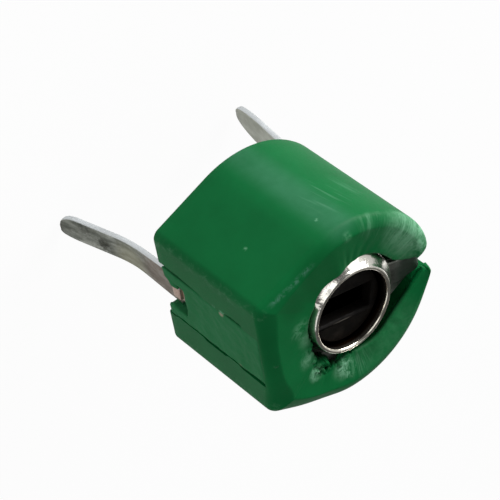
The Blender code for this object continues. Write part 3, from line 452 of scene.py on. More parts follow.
def leadPath(side, length, splay, start):
    # Straight down from the case, then a long bend outwards and a straight end.
    face = side * (strip["face"] - strip["thick"] / 2)
    lean = math.radians(splay)
    bend = strip["bend"]
    path = [Vector((face, strip["mouth"])), Vector((face, 0.0)), Vector((face, start))]
    for k in range(1, strip["bendSteps"] + 1):
        turn = lean * k / strip["bendSteps"]
        path.append(Vector((face + side * bend * (1 - math.cos(turn)), start - bend * math.sin(turn))))
    rest = length + start - bend * math.sin(lean)
    path.append(Vector((face + side * (bend * (1 - math.cos(lean)) + rest * math.tan(lean)), -length)))
    return [point for k, point in enumerate(path) if k == 0 or (point - path[k - 1]).length > 1e-4]


def bentStrip(path, widthAt, nominal):
    # widthAt gives (width, offset) for a height on the path.
    lengths = [0.0]
    for a, b in zip(path, path[1:]):
        lengths.append(lengths[-1] + (b - a).length)
    total = lengths[-1]
    bm = bmesh.new()
    bmesh.ops.create_cube(bm, size=1.0, matrix=Matrix.Translation((0, 0, total / 2))
                          @ Matrix.Diagonal((strip["thick"], nominal, total, 1.0)))
    long = [edge for edge in bm.edges if abs(edge.verts[0].co.z - edge.verts[1].co.z) > total / 2]
    bmesh.ops.bevel(bm, geom=long, affect="EDGES", offset=strip["round"], segments=4, profile=0.5,
                    material=-1)
    long = [edge for edge in bm.edges if abs(edge.verts[0].co.z - edge.verts[1].co.z) > total / 2]
    bmesh.ops.subdivide_edges(bm, edges=long, cuts=int(total / strip["spacing"]), use_grid_fill=True)
    for vert in bm.verts:
        thick, across, along = vert.co
        k = max(j for j in range(len(lengths) - 1) if lengths[j] <= along + 1e-6 or j == 0)
        share = (along - lengths[k]) / (lengths[k + 1] - lengths[k])
        here = path[k].lerp(path[k + 1], share)
        before = (path[k] - path[max(k - 1, 0)]).normalized() if k else (path[1] - path[0]).normalized()
        now = (path[k + 1] - path[k]).normalized()
        last = min(k + 2, len(path) - 1)
        after = (path[last] - path[k + 1]).normalized() if last > k + 1 else now
        direction = ((before + now) * (1 - share) + (now + after) * share).normalized()
        width, offset = widthAt(here.y)
        vert.co = (here.x - direction.y * thick, offset + across * width / nominal,
                   here.y + direction.x * thick)
    return bm


def noseWidth(full, level, length, nose, bias, offset):
    # The strip's width and offset, with its end rounded over the length of the nose.
    share = min(max((nose - length - level) / nose, 0.0), 1.0)
    narrow = (full - strip["nose"]) * (1 - math.sqrt(1 - share ** 2))
    return full - narrow, offset + bias * narrow / 2


# The stator's strip carries a half-disc plate under the works and leaves the case in a small fold.
stator = {
    "path": ((-1.95, 2.61), (-2.25, 2.61), (-2.25, 0.85), (-2.77, 0.85), (-2.77, 0.52)),
    "length": 4.4195, "splay": 14.5, "start": -1.15, "width": 0.84, "nose": 0.66, "bias": -0.4,
    "root": 0.98, "taper": 0.14, "taperEnd": 1.6, "inside": 0.62,
    "foldLow": (-2.97, -0.20, 0.30), "foldHigh": (-2.80, 0.24, 0.66), "foldRound": 0.05,
    "plate": ((1.3, 2.51), (2.15, 2.51), (2.15, 2.71), (1.3, 2.71)),
    "cutLow": (0.0, -3.0, 2.0), "cutHigh": (3.0, 3.0, 3.2),
}


def makeStatorTerminal(material):
    path = roundedPath(stator["path"], strip["fold"] - 0.05)[:-1]
    path += leadPath(-1, stator["length"], stator["splay"], stator["start"])

    def widthAt(level):
        full = stator["root"] - stator["taper"] * min(max(-level / stator["taperEnd"], 0.0), 1.0)
        if level > 0.5:
            full = stator["inside"] + (stator["root"] - stator["inside"]) * window(level, -1.0, 0.5, 0.12)
        return noseWidth(full, level, stator["length"], stator["nose"], stator["bias"], 0.0)

    bm = bentStrip(path, widthAt, stator["width"])
    fold = box(stator["foldLow"], stator["foldHigh"])
    bmesh.ops.bevel(fold, geom=fold.edges[:], affect="EDGES", offset=stator["foldRound"], segments=3,
                    profile=0.5, material=-1)
    plate = combine(turned(stator["plate"], 96), [box(stator["cutLow"], stator["cutHigh"])])
    bm = combine(bm, [plate, fold], "UNION")
    return finish("stator_strip", bm, material, "housing", ["stator_terminal"], 50.0)


# The rotor's contact: an eye with a broad foot, a slightly hollow cone, and a thin collar that carries on
# the rim's half-round, then two arms, a web and a strip that runs down the slot to the lead.
contact = {
    "cone": ((1.4, 4.08), (1.62, 4.08), (1.68, 4.14), (1.68, 4.40), (1.655, 4.435), (1.61, 4.475),
             (1.55, 4.52), (1.49, 4.573), (1.44, 4.623), (1.405, 4.665)),
    "inside": ((1.352, 4.70), (1.352, 4.35), (1.385, 4.25)), "collarFrom": 38,
    "full": (-6, 136, 10), "fullAbove": 4.2, "root": 1.395, "crowded": 0.25,
    "armLow": (1.49, -0.35, 4.08), "armHigh": (2.38, 0.35, 4.28), "armTurns": (122, 243), "armRound": 0.03,
    "path": ((1.49, 4.18), (1.67, 4.18), (1.87, 4.28), (2.77, 4.28), (2.77, 0.52)),
    "length": 4.2895, "splay": 7.5, "start": -0.1, "width": 0.92, "nose": 1.5, "bias": 0.15,
    "narrow": 0.84, "broader": 0.18, "offset": -0.11, "offsetBelow": 0.09,
    "webRadius": 1.5, "webEnd": ((2.38, -0.11), (2.38, -0.6)), "webLow": 4.09, "webHigh": 4.27,
}


def makeRotorTerminal(material):
    collar = rimPoints(contact["collarFrom"], spindle["split"] - 3, 4)
    eye = turned([*contact["cone"], *collar, *contact["inside"]], 160)
    for vert in eye.verts:
        # The cone is full only on the side of the gap. Elsewhere the lip crowds it against the tube.
        full = window(math.degrees(math.atan2(vert.co.y, vert.co.x)), *contact["full"])
        reach = vert.co.xy.length
        if vert.co.z > contact["fullAbove"] and reach > contact["root"]:
            share = contact["crowded"] + (1 - contact["crowded"]) * full
            vert.co.xy *= (contact["root"] + (reach - contact["root"]) * share) / reach
    arms = []
    for angle in contact["armTurns"]:
        arm = box(contact["armLow"], contact["armHigh"])
        bmesh.ops.bevel(arm, geom=arm.edges[:], affect="EDGES", offset=contact["armRound"], segments=2,
                        profile=0.5, material=-1)
        bmesh.ops.rotate(arm, verts=arm.verts, cent=(0, 0, 0),
                         matrix=Matrix.Rotation(math.radians(angle), 3, "Z"))
        arms.append(arm)
    path = roundedPath(contact["path"], strip["fold"])[:-1]
    path += leadPath(1, contact["length"], contact["splay"], contact["start"])

    def widthAt(level):
        blend = window(level, -9.0, 0.4, 0.4)
        return noseWidth(contact["narrow"] + contact["broader"] * blend, level, contact["length"],
                         contact["nose"], contact["bias"], contact["offset"] + contact["offsetBelow"] * blend)

    turns = [math.radians(5 * k - 60) for k in range(13)]
    root = [(contact["webRadius"] * math.cos(turn), contact["webRadius"] * math.sin(turn)) for turn in turns]
    web = prism([*root, *contact["webEnd"]], contact["webLow"], contact["webHigh"], upright=True)
    bm = combine(eye, [*arms, web, bentStrip(path, widthAt, contact["width"])], "UNION")
    return finish("rotor_strip", bm, material, "housing", ["rotor_terminal"], 50.0)


def makeDriver(material):
    bm = cadCopy("driver_disc")
    rim = [edge for edge in bm.edges if len(edge.link_faces) == 2 and edge.calc_face_angle(0) > 0.6]
    bmesh.ops.bevel(bm, geom=rim, affect="EDGES", offset=0.02, segments=2, profile=0.5, material=-1,
                    clamp_overlap=True)
    return finish("driver_plug", bm, material, "rotor", ["driver_disc"], 40.0)


# Block: the panel's legs end in lumps of torn plastic, and its edges are soft and slightly uneven.
block = {
    "voxel": 0.05, "rough": 0.022, "frontAt": -2.35, "frontOver": 0.3, "squash": (0.6, 1.0, 1.3, 1.0),
    "lumps": ((-3.0, 0.60, 0.34, 0.15), (-3.02, 0.46, 0.50, 0.13), (-2.98, 0.36, 0.60, 0.10),
              (-2.98, 0.74, 0.14, 0.12), (-2.99, -0.64, 0.30, 0.15), (-2.96, -0.74, 0.16, 0.14)),
}


def makeBlock(material):
    bm = cadCopy("terminal_block")
    for x, y, z, radius in block["lumps"]:
        squashed = Matrix.Translation((x, y, z)) @ Matrix.Diagonal(block["squash"])
        bmesh.ops.create_icosphere(bm, subdivisions=3, radius=radius, matrix=squashed)
    mesh = bpy.data.meshes.new("rough block")
    bmesh.ops.triangulate(bm, faces=bm.faces)
    bm.to_mesh(mesh)
    bm.free()
    rough = bpy.data.objects.new("rough block", mesh)
    bpy.context.collection.objects.link(rough)
    remesh = rough.modifiers.new("even mesh", "REMESH")
    remesh.mode = "VOXEL"
    remesh.voxel_size = block["voxel"]
    bm = bmesh.new()
    bm.from_object(rough, bpy.context.evaluated_depsgraph_get())
    bpy.data.meshes.remove(mesh, do_unlink=True)
    for _ in range(2):
        bmesh.ops.smooth_vert(bm, verts=bm.verts, factor=0.5, use_axis_x=True, use_axis_y=True,
                              use_axis_z=True)
    bm.normal_update()
    for vert in bm.verts:
        front = min(max((block["frontAt"] - vert.co.x) / block["frontOver"], 0.0), 1.0)
        wave = noise.noise(vert.co * 2.2) + 0.6 * noise.noise(vert.co * 6.0)
        vert.co += vert.normal * block["rough"] * front * (wave - 0.25)
    return finish("insulating_block", bm, material, "housing", ["terminal_block"], 60.0)


# Materials. Masks run from 0 to 1. A spot is the centre, inner radius, outer radius and strength of a patch.

def ramp(low, high, start=0.0, end=1.0):
    # The settings of a straight ramp from start, at the low value, to end, at the high one.
    return {"From Min": low, "From Max": high, "To Min": start, "To Max": end}


def fade(low, high, start=0.0, end=1.0):
    # The same with soft ends.
    return {"interpolation_type": "SMOOTHSTEP", **ramp(low, high, start, end)}


def zone(tree, place, centre, inner, outer, strength):
    # A soft round patch: full strength within the inner radius, nothing beyond the outer one.
    away = addNode(tree, "VectorMath", {"operation": "DISTANCE", 1: centre}, {0: place}, "Value")
    return addNode(tree, "MapRange", fade(inner, outer, strength, 0.0), {"Value": away}, 0)


def strongest(tree, masks):
    result = masks[0]
    for mask in masks[1:]:
        result = addNode(tree, "Math", {"operation": "MAXIMUM"}, {0: result, 1: mask}, 0)
    return result


def zones(tree, place, spots):
    return strongest(tree, [zone(tree, place, *spot) for spot in spots])


def overlap(tree, *masks):
    result = masks[0]
    for mask in masks[1:]:
        result = addNode(tree, "Math", {"operation": "MULTIPLY"}, {0: result, 1: mask}, 0)
    return result


def alongAxis(tree, place, axis):
    return addNode(tree, "VectorMath", {"operation": "DOT_PRODUCT", 1: axis}, {0: place}, "Value")


def awayFrom(tree, value, level):
    gap = addNode(tree, "Math", {"operation": "SUBTRACT", 1: level}, {0: value}, 0)
    return addNode(tree, "Math", {"operation": "ABSOLUTE"}, {0: gap}, 0)


def blend(tree, dark, light, share):
    colours = {"data_type": "RGBA", 6: linear(dark), 7: linear(light)}
    return addNode(tree, "Mix", colours, {0: share}, 2)


def overlay(tree, shader, colour, mask, tint):
    # Another colour where the mask is.
    mixed = addNode(tree, "Mix", {"data_type": "RGBA", 7: linear(tint)}, {0: mask, 6: colour}, 2)
    tree.links.new(mixed, shader.inputs["Base Color"])
    return mixed


def flatten(tree, place):
    # The place with its height taken out.
    return addNode(tree, "VectorMath", {"operation": "MULTIPLY", 1: (1, 1, 0)}, {0: place}, 0)


def dress(tree, shader, rough, normal):
    # Give a surface its dullness and its relief.
    tree.links.new(rough, shader.inputs["Roughness"])
    tree.links.new(normal, shader.inputs["Normal"])


# Where the green case is marked. Drag marks lie on the rolled end and below the ragged bay, scuffs and
# dents between them, pale bloom round both that is partly a painted sheen, and painted shade on the rest of
# the lip.
green = {
    "dragged": (((2.35, 1.7, 4.7), 0.5, 1.15, 0.9), ((1.2, 2.6, 4.7), 0.25, 0.8, 0.5),
                ((0.0, -2.15, 4.6), 0.2, 0.6, 0.45)),
    "rubbed": (((-0.5, -1.95, 4.6), 0.1, 0.42, 1.0), ((-0.38, -2.2, 4.64), 0.05, 0.32, 0.8),
               ((-1.5, -1.46, 4.6), 0.05, 0.36, 0.8), ((-1.7, -0.7, 4.6), 0.05, 0.45, 0.45),
               ((-1.78, 0.5, 4.6), 0.05, 0.5, 0.35), ((-2.8, -0.1, 4.66), 0.02, 0.09, 1.0),
               ((-1.91, 2.5, 2.82), 0.02, 0.09, 1.0), ((0.15, 2.65, 4.66), 0.04, 0.22, 0.3),
               ((2.75, 0.9, 4.6), 0.2, 0.9, 0.7), ((-0.16, 3.0, 3.84), 0.02, 0.08, 1.0),
               ((-3.07, 0.95, 2.88), 0.05, 0.17, 1.0), ((-3.07, 0.95, 2.5), 0.02, 0.1, 0.8)),
    "paleBloomAndSheen": (((2.35, 1.6, 4.7), 0.5, 1.3, 0.34), ((1.4, -2.3, 4.5), 0.7, 1.7, 0.08),
              ((-1.5, -1.46, 4.6), 0.05, 0.34, 0.35), ((-0.65, -2.0, 4.62), 0.05, 0.42, 0.32),
              ((-1.64, 0.0, 4.58), 0.05, 0.4, 0.3), ((-1.72, -0.8, 4.6), 0.05, 0.4, 0.14)),
    "paintedShade": (((-0.8, 1.95, 4.68), 0.5, 1.2, 0.3), ((-1.9, 1.6, 4.68), 0.2, 0.8, 0.25),
              ((0.4, -1.8, 4.6), 0.2, 0.7, 0.35)),
    "corners": (((-2.98, 1.86, 0.0), 0.10, 0.30, 1.0), ((-2.98, -1.86, 0.0), 0.10, 0.30, 1.0)),
    "creaseAxis": (-0.30, 0.954, 0.0), "creaseAt": 2.71, "crease": ((-1.85, 2.27, 4.64), 0.6, 0.95, 1.0),
    "highlightBandAt": 0.15, "scratchAxes": ((9.2, 0, -1.6), (0.1, 0, 0.45)),
    "scratched": ((0.9, 2.85, 3.2), 0.4, 1.2, 1.0),
}


def mouldedGreen():
    # Deep green satin plastic: faint clouding, pale marks where the hot tool dragged and folded the lip, and
    # painted sheen, highlights and shade.
    # The clouds are about 1.4 mm across, the tears 0.2 mm and the grain 0.07 mm, coarse enough to show.
    material, tree, shader, place = newMaterial("green moulded plastic")
    x, y, height = addNode(tree, "SeparateXYZ", {}, {0: place}).outputs
    flat = flatten(tree, place)
    reach = addNode(tree, "VectorMath", {"operation": "LENGTH"}, {0: flat}, "Value")
    ray = addNode(tree, "VectorMath", {"operation": "NORMALIZE"}, {0: flat}, 0)
    spokes = addNode(tree, "VectorMath", {"operation": "MULTIPLY_ADD", 1: (20, 20, 20)},
                     {0: ray, 2: place}, 0)
    streaks = addNode(tree, "TexNoise", {"Scale": 1.0, "Detail": 3.0, "Roughness": 0.6},
                      {"Vector": spokes}, 0)
    clouds = addNode(tree, "TexNoise", {"Scale": 0.7, "Detail": 4.0, "Roughness": 0.6}, {"Vector": place}, 0)
    tears = addNode(tree, "TexNoise",
                    {"Scale": 5.0, "Detail": 4.0, "Roughness": 0.65, "Distortion": 0.8}, {"Vector": place}, 0)
    grain = addNode(tree, "TexNoise", {"Scale": 14.0, "Detail": 3.0, "Roughness": 0.6}, {"Vector": place}, 0)
    top = addNode(tree, "MapRange", fade(4.40, 4.60), {"Value": height}, 0)
    dragged = zones(tree, place, green["dragged"])
    rubbed = zones(tree, place, green["rubbed"])
    combed = addNode(tree, "MapRange", fade(0.42, 0.70, 0.05, 0.6), {"Value": streaks}, 0)
    torn = addNode(tree, "MapRange", fade(0.40, 0.64, 0.0, 0.9), {"Value": tears}, 0)
    cloudy = addNode(tree, "MapRange", ramp(0.35, 0.6, 0.45), {"Value": tears}, 0)
    pale = strongest(tree, [overlap(tree, dragged, top, combed), overlap(tree, rubbed, torn)])
    colour = overlay(tree, shader, blend(tree, "045A2C", "0A6E39", clouds), pale, "7DBB95")
    # Painted shade: inside the mouth and under the lip the plastic is darkened as if in shadow.
    inner = addNode(tree, "MapRange", fade(2.5, 2.3), {"Value": reach}, 0)
    under = addNode(tree, "MapRange", fade(4.57, 4.42, 0.0, 0.85), {"Value": height}, 0)
    colour = overlay(tree, shader, colour, overlap(tree, inner, under), "03200F")
    # Painted sheen: soft pale bloom on the rolled end and round the bay, partly stress whitening and partly a
    # painted highlight.
    paleBloomAndSheen = overlap(tree, zones(tree, place, green["paleBloomAndSheen"]), top, cloudy)
    colour = overlay(tree, shader, colour, paleBloomAndSheen, "8CC4A0")
    # A pale scuff runs along the crease between the shoulder and the lip, with a painted highlight on the
    # crease's sharp edge.
    off = awayFrom(tree, alongAxis(tree, place, green["creaseAxis"]), green["creaseAt"])
    line = addNode(tree, "MapRange", fade(0.0, 0.11, 0.34, 0.0), {"Value": off}, 0)
    scuffAndGlint = overlap(tree, line, zone(tree, place, *green["crease"]), torn)
    colour = overlay(tree, shader, colour, scuffAndGlint, "7CA8A0")
    # Painted shade darkens the left and middle of the lip and a patch right of the bay.
    colour = overlay(tree, shader, colour, zones(tree, place, green["paintedShade"]), "02300E")
    # Painted highlight: a faint pale band runs down the middle of the round side, with fine scratches beside
    # it.
    off = awayFrom(tree, x, green["highlightBandAt"])
    highlightBand = addNode(tree, "MapRange", fade(0.1, 0.75, 0.12, 0.0), {"Value": off}, 0)
    facing = addNode(tree, "MapRange", ramp(2.6, 2.9), {"Value": y}, 0)
    patchy = addNode(tree, "MapRange", ramp(0.3, 0.6, 0.5), {"Value": clouds}, 0)
    colour = overlay(tree, shader, colour, overlap(tree, highlightBand, facing, patchy), "7FA6A0")
    across, down = [alongAxis(tree, place, axis) for axis in green["scratchAxes"]]
    drawn = addNode(tree, "CombineXYZ", {}, {0: across, 1: down}, 0)
    lines = addNode(tree, "TexNoise", {"Scale": 1.0, "Detail": 2.0}, {"Vector": drawn}, 0)
    lines = addNode(tree, "MapRange", ramp(0.57, 0.68, 0.0, 0.13), {"Value": lines}, 0)
    scratches = overlap(tree, lines, zone(tree, place, *green["scratched"]))
    colour = overlay(tree, shader, colour, scratches, "8CC4A8")
    # The two upright corners beside the flat are worn in specks.
    specks = addNode(tree, "TexNoise", {"Scale": 6.0, "Detail": 4.0, "Roughness": 0.7}, {"Vector": place}, 0)
    specks = addNode(tree, "MapRange", ramp(0.52, 0.70, 0.0, 0.22), {"Value": specks}, 0)
    overlay(tree, shader, colour, overlap(tree, zones(tree, flat, green["corners"]), specks), "6FA383")
    shader.inputs["Specular IOR Level"].default_value = 0.08
    rough = addNode(tree, "MapRange", ramp(0.0, 1.0, 0.36, 0.54), {"Value": grain}, 0)
    ridges = overlap(tree, strongest(tree, [dragged, rubbed]), top, streaks)
    fine = addNode(tree, "Bump", {"Strength": 0.12, "Distance": 0.02 * mm}, {"Height": grain}, 0)
    deep = addNode(tree, "Bump", {"Strength": 0.7, "Distance": 0.07 * mm},
                   {"Height": ridges, "Normal": fine}, 0)
    dress(tree, shader, rough, deep)
    return material


def mattGreen():
    # The block's plastic is greyer and duller, with pale rubs and a grain of 0.05 mm, coarse enough to show.
    material, tree, shader, place = newMaterial("matt green insulating plastic")
    clouds = addNode(tree, "TexNoise", {"Scale": 1.1, "Detail": 5.0, "Roughness": 0.6}, {"Vector": place}, 0)
    grain = addNode(tree, "TexNoise", {"Scale": 22.0, "Detail": 2.0}, {"Vector": place}, 0)
    rubs = zones(tree, place, (((-3.07, 0.84, 2.8), 0.04, 0.13, 0.8), ((-3.07, -0.86, 3.3), 0.02, 0.1, 0.4)))
    overlay(tree, shader, blend(tree, "1C6A3A", "2F7E50", clouds), rubs, "A9A08C")
    shader.inputs["Specular IOR Level"].default_value = 0.08
    rough = addNode(tree, "MapRange", ramp(0.0, 1.0, 0.5, 0.7), {"Value": grain}, 0)
    fine = addNode(tree, "Bump", {"Strength": 0.2, "Distance": 0.02 * mm}, {"Height": grain}, 0)
    dress(tree, shader, rough, fine)
    return material


def metal(name, dark, light, dullness, blotch, ripple, stretch=(1, 1, 1)):
    # Soft patches of two tones, each with its own dullness, over a slightly wavy surface. A patch is about
    # 1 / blotch mm across.
    material, tree, shader, place = newMaterial(name)
    drawn = addNode(tree, "VectorMath", {"operation": "MULTIPLY", 1: stretch}, {0: place}, 0)
    patches = addNode(tree, "TexNoise", {"Scale": blotch, "Detail": 4.0, "Roughness": 0.6},
                      {"Vector": drawn}, 0)
    spread = addNode(tree, "MapRange", fade(0.3, 0.7), {"Value": patches}, 0)
    tone = blend(tree, dark, light, spread)
    bright, dull = dullness
    rough = addNode(tree, "MapRange", ramp(0.0, 1.0, dull, bright), {"Value": spread}, 0)
    wave = addNode(tree, "TexNoise", {"Scale": blotch * 2.5, "Detail": 3.0}, {"Vector": drawn}, 0)
    lift = addNode(tree, "Bump", {"Strength": ripple, "Distance": 0.02 * mm}, {"Height": wave}, 0)
    shader.inputs["Metallic"].default_value = 1.0
    tree.links.new(tone, shader.inputs["Base Color"])
    dress(tree, shader, rough, lift)
    return material, tree, shader, place, tone, rough


# Where the tinned strips are stained, and where they take another tone.
tin = {
    "stained": (((-3.15, -0.12, -2.75), 0.12, 0.45, 0.95), ((-3.25, 0.22, -3.4), 0.1, 0.5, 0.6),
                ((3.05, 0.1, -3.6), 0.1, 0.5, 0.6)),
    "tones": ((((-3.0, -0.3, -1.7), 0.3, 0.9, 0.45), "C2BFA2"),
              (((3.0, 0.0, -2.9), 0.9, 2.0, 0.6), "DADCCF"),
              (((-2.9, 0.0, -0.2), 0.5, 1.3, 0.5), "8C7468"),
              (((-2.95, 0.05, 0.5), 0.28, 0.4, 0.9), "D8BEB0")),
    "shadeByTheGap": ((2.7, -0.4, 4.3), 0.6, 1.3, 0.85), "eye": ((0, 0, 0), 1.68, 1.74, 1.0),
}


def tinnedStrip():
    # Tin-dipped brass: dull grey faces, side edges painted near white as a reflection, darker tips, painted
    # shade near the gap, and polish where the eye is drawn.
    material, tree, shader, place, tone, rough = metal(
        "tinned brass strip", "767A72", "B2B5AC", (0.38, 0.55), 1.6, 0.5, (1.4, 2.2, 0.7))
    height = addNode(tree, "SeparateXYZ", {}, {0: place}, 2)
    normal = addNode(tree, "TexCoord", out="Normal")
    sideways = addNode(tree, "SeparateXYZ", {}, {0: normal}, 1)
    below = addNode(tree, "MapRange", ramp(3.7, 3.9, 1.0, 0.0), {"Value": height}, 0)
    edges = addNode(tree, "MapRange", fade(0.55, 0.85), {"Value": awayFrom(tree, sideways, 0.0)}, 0)
    tips = addNode(tree, "MapRange", fade(-4.5, -3.8, 0.4, 0.0), {"Value": height}, 0)
    tone = overlay(tree, shader, tone, tips, "5C5C54")
    stain = addNode(tree, "TexNoise", {"Scale": 4.0, "Detail": 4.0, "Roughness": 0.7}, {"Vector": place}, 0)
    stain = addNode(tree, "MapRange", ramp(0.42, 0.56), {"Value": stain}, 0)
    tone = overlay(tree, shader, tone, overlap(tree, zones(tree, place, tin["stained"]), stain), "45463E")
    mottle = addNode(tree, "TexNoise", {"Scale": 7.0, "Detail": 4.0, "Roughness": 0.7}, {"Vector": place}, 0)
    mottle = addNode(tree, "MapRange", ramp(0.48, 0.62, 0.0, 0.5), {"Value": mottle}, 0)
    tone = overlay(tree, shader, tone, overlap(tree, mottle, below), "74766A")
    for spot, tint in tin["tones"]:
        tone = overlay(tree, shader, tone, zone(tree, place, *spot), tint)
    # Painted reflection: faces turned sideways, the strip's edges, are lightened to near white.
    tone = overlay(tree, shader, tone, overlap(tree, edges, below), "E2E6E8")
    # Painted shade, tinted green, on the strip beside the gap.
    tone = overlay(tree, shader, tone, zone(tree, place, *tin["shadeByTheGap"]), "33473B")
    above = addNode(tree, "MapRange", ramp(4.34, 4.40), {"Value": height}, 0)
    drawn = overlap(tree, zone(tree, flatten(tree, place), *tin["eye"]), above)
    overlay(tree, shader, tone, drawn, "E8E5DC")
    smooth = addNode(tree, "Mix", {"data_type": "FLOAT", 3: 0.18}, {0: drawn, 2: rough}, 0)
    tree.links.new(smooth, shader.inputs["Roughness"])
    return material


def nickelPlate():
    # Bright nickel plate on a drawn tube: nearly a mirror outside; down the bore it is darkened to brown just
    # inside the rim and painted near black deeper down as shade.
    material, tree, shader, place, tone = metal(
        "polished nickel plate", "D2CDBF", "ECE7D9", (0.16, 0.26), 3.0, 0.1)[:5]
    height = addNode(tree, "SeparateXYZ", {}, {0: place}, 2)
    reach = addNode(tree, "VectorMath", {"operation": "LENGTH"}, {0: flatten(tree, place)}, "Value")
    inside = addNode(tree, "MapRange", ramp(1.275, 1.255), {"Value": reach}, 0)
    # Down the bore the colour darkens to brown, then to near black as painted shade.
    for low, high, tint in ((4.66, 4.52, "4A3018"), (4.56, 4.38, "0C0906")):
        deep = addNode(tree, "MapRange", fade(low, high), {"Value": height}, 0)
        tone = overlay(tree, shader, tone, overlap(tree, inside, deep), tint)
    return material


def oxideAndShadeBrass():
    # A near-black skin, partly black oxide and partly painted shade at the bottom of the bore, with a thin
    # painted highlight along one edge of the slot.
    material, tree, shader, place, tone = metal(
        "oxide and shade darkened brass", "070605", "100D0A", (0.5, 0.7), 3.0, 0.4)[:5]
    shader.inputs["Metallic"].default_value = 0.0
    shader.inputs["Specular IOR Level"].default_value = 0.1
    # Painted highlight: a thin bright line along one edge of the slot.
    off = awayFrom(tree, awayFrom(tree, alongAxis(tree, place, (0.233, 0.972, 0.0)), 0.0), 0.485)
    edge = addNode(tree, "MapRange", ramp(0.004, 0.014, 0.7, 0.0), {"Value": off}, 0)
    glintStretch = zone(tree, place, (-0.21, -0.45, 3.96), 0.3, 0.6, 1.0)
    overlay(tree, shader, tone, overlap(tree, edge, glintStretch), "8A857A")
    return material


def matt(name, dark, light, rough, speckle):
    # A dull body of two tones, in specks about 1 / speckle mm across.
    material, tree, shader, place = newMaterial(name)
    grain = addNode(tree, "TexNoise", {"Scale": speckle, "Detail": 4.0}, {"Vector": place}, 0)
    dull = addNode(tree, "MapRange", ramp(0.0, 1.0, rough - 0.08, rough + 0.08), {"Value": grain}, 0)
    lift = addNode(tree, "Bump", {"Strength": 0.25, "Distance": 0.01 * mm}, {"Height": grain}, 0)
    tree.links.new(blend(tree, dark, light, grain), shader.inputs["Base Color"])
    dress(tree, shader, dull, lift)
    return material


# Set: a pale floor under the lead tips, soft lamps, and the camera at the photograph's angle.
stage = {"floor": -4.5, "floorSize": 0.5, "lens": 159.545, "place": (-25.2854, 43.238, 39.9031),
         "turn": (-37.0012, -39.2951, -10.1305)}


def makeFloor():
    bm = bmesh.new()
    bmesh.ops.create_grid(bm, x_segments=1, y_segments=1, size=stage["floorSize"],
                          matrix=Matrix.Translation((0, 0, stage["floor"] * mm)))
    mesh = bpy.data.meshes.new("floor")
    bm.to_mesh(mesh)
    bm.free()
    floor = bpy.data.objects.new("floor", mesh)
    bpy.context.collection.objects.link(floor)
    material, tree, shader = newMaterial("pale floor")[:3]
    shader.inputs["Base Color"].default_value = linear("E6E6E6")
    shader.inputs["Roughness"].default_value = 0.8
    shader.inputs["Emission Color"].default_value = (1, 1, 1, 1)
    seen = addNode(tree, "LightPath")
    glow = addNode(tree, "Emission", {"Strength": 1.0}, {}, 0)
    mirrored = strongest(tree, [seen.outputs["Is Glossy Ray"], seen.outputs["Is Transmission Ray"]])
    mirrored = addNode(tree, "Math", {"operation": "MULTIPLY", 1: 0.15}, {0: mirrored}, 0)
    direct = addNode(tree, "Math", {"operation": "MULTIPLY", 1: 0.95}, {0: seen.outputs["Is Camera Ray"]}, 0)
    part = strongest(tree, [mirrored, direct])
    mixed = addNode(tree, "MixShader", {}, {0: part, 1: shader.outputs[0], 2: glow}, 0)
    tree.links.new(mixed, tree.nodes["Material Output"].inputs["Surface"])
    mesh.materials.append(material)


def addLamp(name, place, target, size, power):
    lamp = bpy.data.lights.new(name, "AREA")
    lamp.shape = "RECTANGLE"
    lamp.size, lamp.size_y = (side * mm for side in size)
    lamp.energy = power
    item = bpy.data.objects.new(name, lamp)
    item.location = Vector(place) * mm
    item.rotation_euler = (Vector(target) - Vector(place)).to_track_quat("-Z", "Y").to_euler()
    bpy.context.collection.objects.link(item)


# The room is even and dim for the object, white for the camera, and shows metal a few soft panels:
# the direction of each, the angles where it is full and where it ends, and its strength. The lens is a dark
# spot in one of them. A lamp is its place, what it looks at, its size and its power.
panels = (((0.90, -0.12, 0.38), 24, 40, 0.5), ((0.90, -0.43, 0.03), 9, 16, 1.4),
          ((0.67, 0.40, 0.63), 8, 17, 1.6), ((0.60, 0.00, 0.79), 14, 24, 0.9),
          ((-0.39, 0.68, 0.62), 18, 25, 1.5), ((0.28, -0.96, -0.02), 13, 20, 0.9))
lens = ((-0.39, 0.68, 0.62), 5, 9, 1.1)
room = {"diffuse": 0.40, "glossy": 0.10, "seen": 1.0}
lamps = {"key": ((62, 49, 22), (0, 0, 2), (62, 38), 0.085),
         "fill": ((-74, -10, 32), (0, 0, 2), (60, 50), 0.008)}


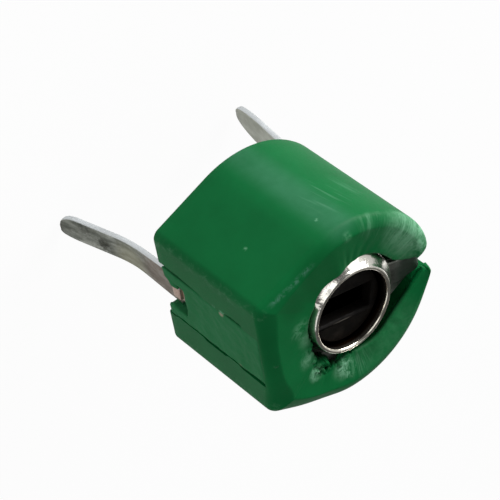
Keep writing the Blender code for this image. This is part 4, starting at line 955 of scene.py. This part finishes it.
def makeLight():
    world = bpy.data.worlds.new("soft room")
    world.use_nodes = True
    tree = world.node_tree
    back = tree.nodes["Background"]
    back.inputs["Color"].default_value = (1, 1, 1, 1)
    seen = addNode(tree, "LightPath")
    ray = addNode(tree, "TexCoord", out="Generated")
    shines = []
    for direction, full, end, strength in (*panels, lens):
        towards = alongAxis(tree, ray, Vector(direction).normalized())
        low, high = math.cos(math.radians(end)), math.cos(math.radians(full))
        shines.append(addNode(tree, "MapRange", fade(low, high, 0.0, strength), {"Value": towards}, 0))
    shown = addNode(tree, "Math", {"operation": "SUBTRACT"},
                    {0: strongest(tree, shines[:-1]), 1: shines[-1]}, 0)
    shown = addNode(tree, "Math", {"operation": "ADD", 1: room["glossy"]}, {0: shown}, 0)
    mirrored = strongest(tree, [seen.outputs["Is Glossy Ray"], seen.outputs["Is Transmission Ray"]])
    level = addNode(tree, "Mix", {"data_type": "FLOAT", 2: room["diffuse"]}, {0: mirrored, 3: shown}, 0)
    level = addNode(tree, "Mix", {"data_type": "FLOAT", 3: room["seen"]},
                    {0: seen.outputs["Is Camera Ray"], 2: level}, 0)
    tree.links.new(level, back.inputs["Strength"])
    bpy.context.scene.world = world
    for name, (place, target, size, power) in lamps.items():
        addLamp(name, place, target, size, power)


def makeCamera():
    camera = bpy.data.cameras.new("camera")
    camera.lens = stage["lens"]
    camera.sensor_width = 36.0
    camera.clip_start = 1 * mm
    item = bpy.data.objects.new("camera", camera)
    item.location = Vector(stage["place"]) * mm
    item.rotation_euler = [math.radians(turn) for turn in stage["turn"]]
    bpy.context.collection.objects.link(item)
    bpy.context.scene.camera = item


makeCase(mouldedGreen())
print("case")
makeBlock(mattGreen())
tinned = tinnedStrip()
makeStatorTerminal(tinned)
makeRotorTerminal(tinned)
print("block and terminals")
makeSpindle(nickelPlate())
makeDriver(oxideAndShadeBrass())
print("spindle and driver")
# The pieces hidden in the works keep their CAD meshes and get a material each.
hidden = {
    "rotor_disc": matt("fired ceramic", "8C7460", "A98E77", 0.6, 8.0),
    "rotor_electrode": metal("fired silver", "9C988E", "C7C3B8", (0.35, 0.5), 3.0, 0.3)[0],
    "contact_spring": metal("spring bronze", "8A5E38", "B98A58", (0.25, 0.4), 2.0, 0.2)[0],
    "thrust_washer": matt("hard fibre", "3C261A", "573A28", 0.8, 10.0),
}
for node, material in hidden.items():
    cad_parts[node].data.materials.clear()
    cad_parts[node].data.materials.append(material)
print("hidden works")
makeFloor()
makeLight()
makeCamera()
bpy.context.scene.view_settings.view_transform = "Standard"
print("set")
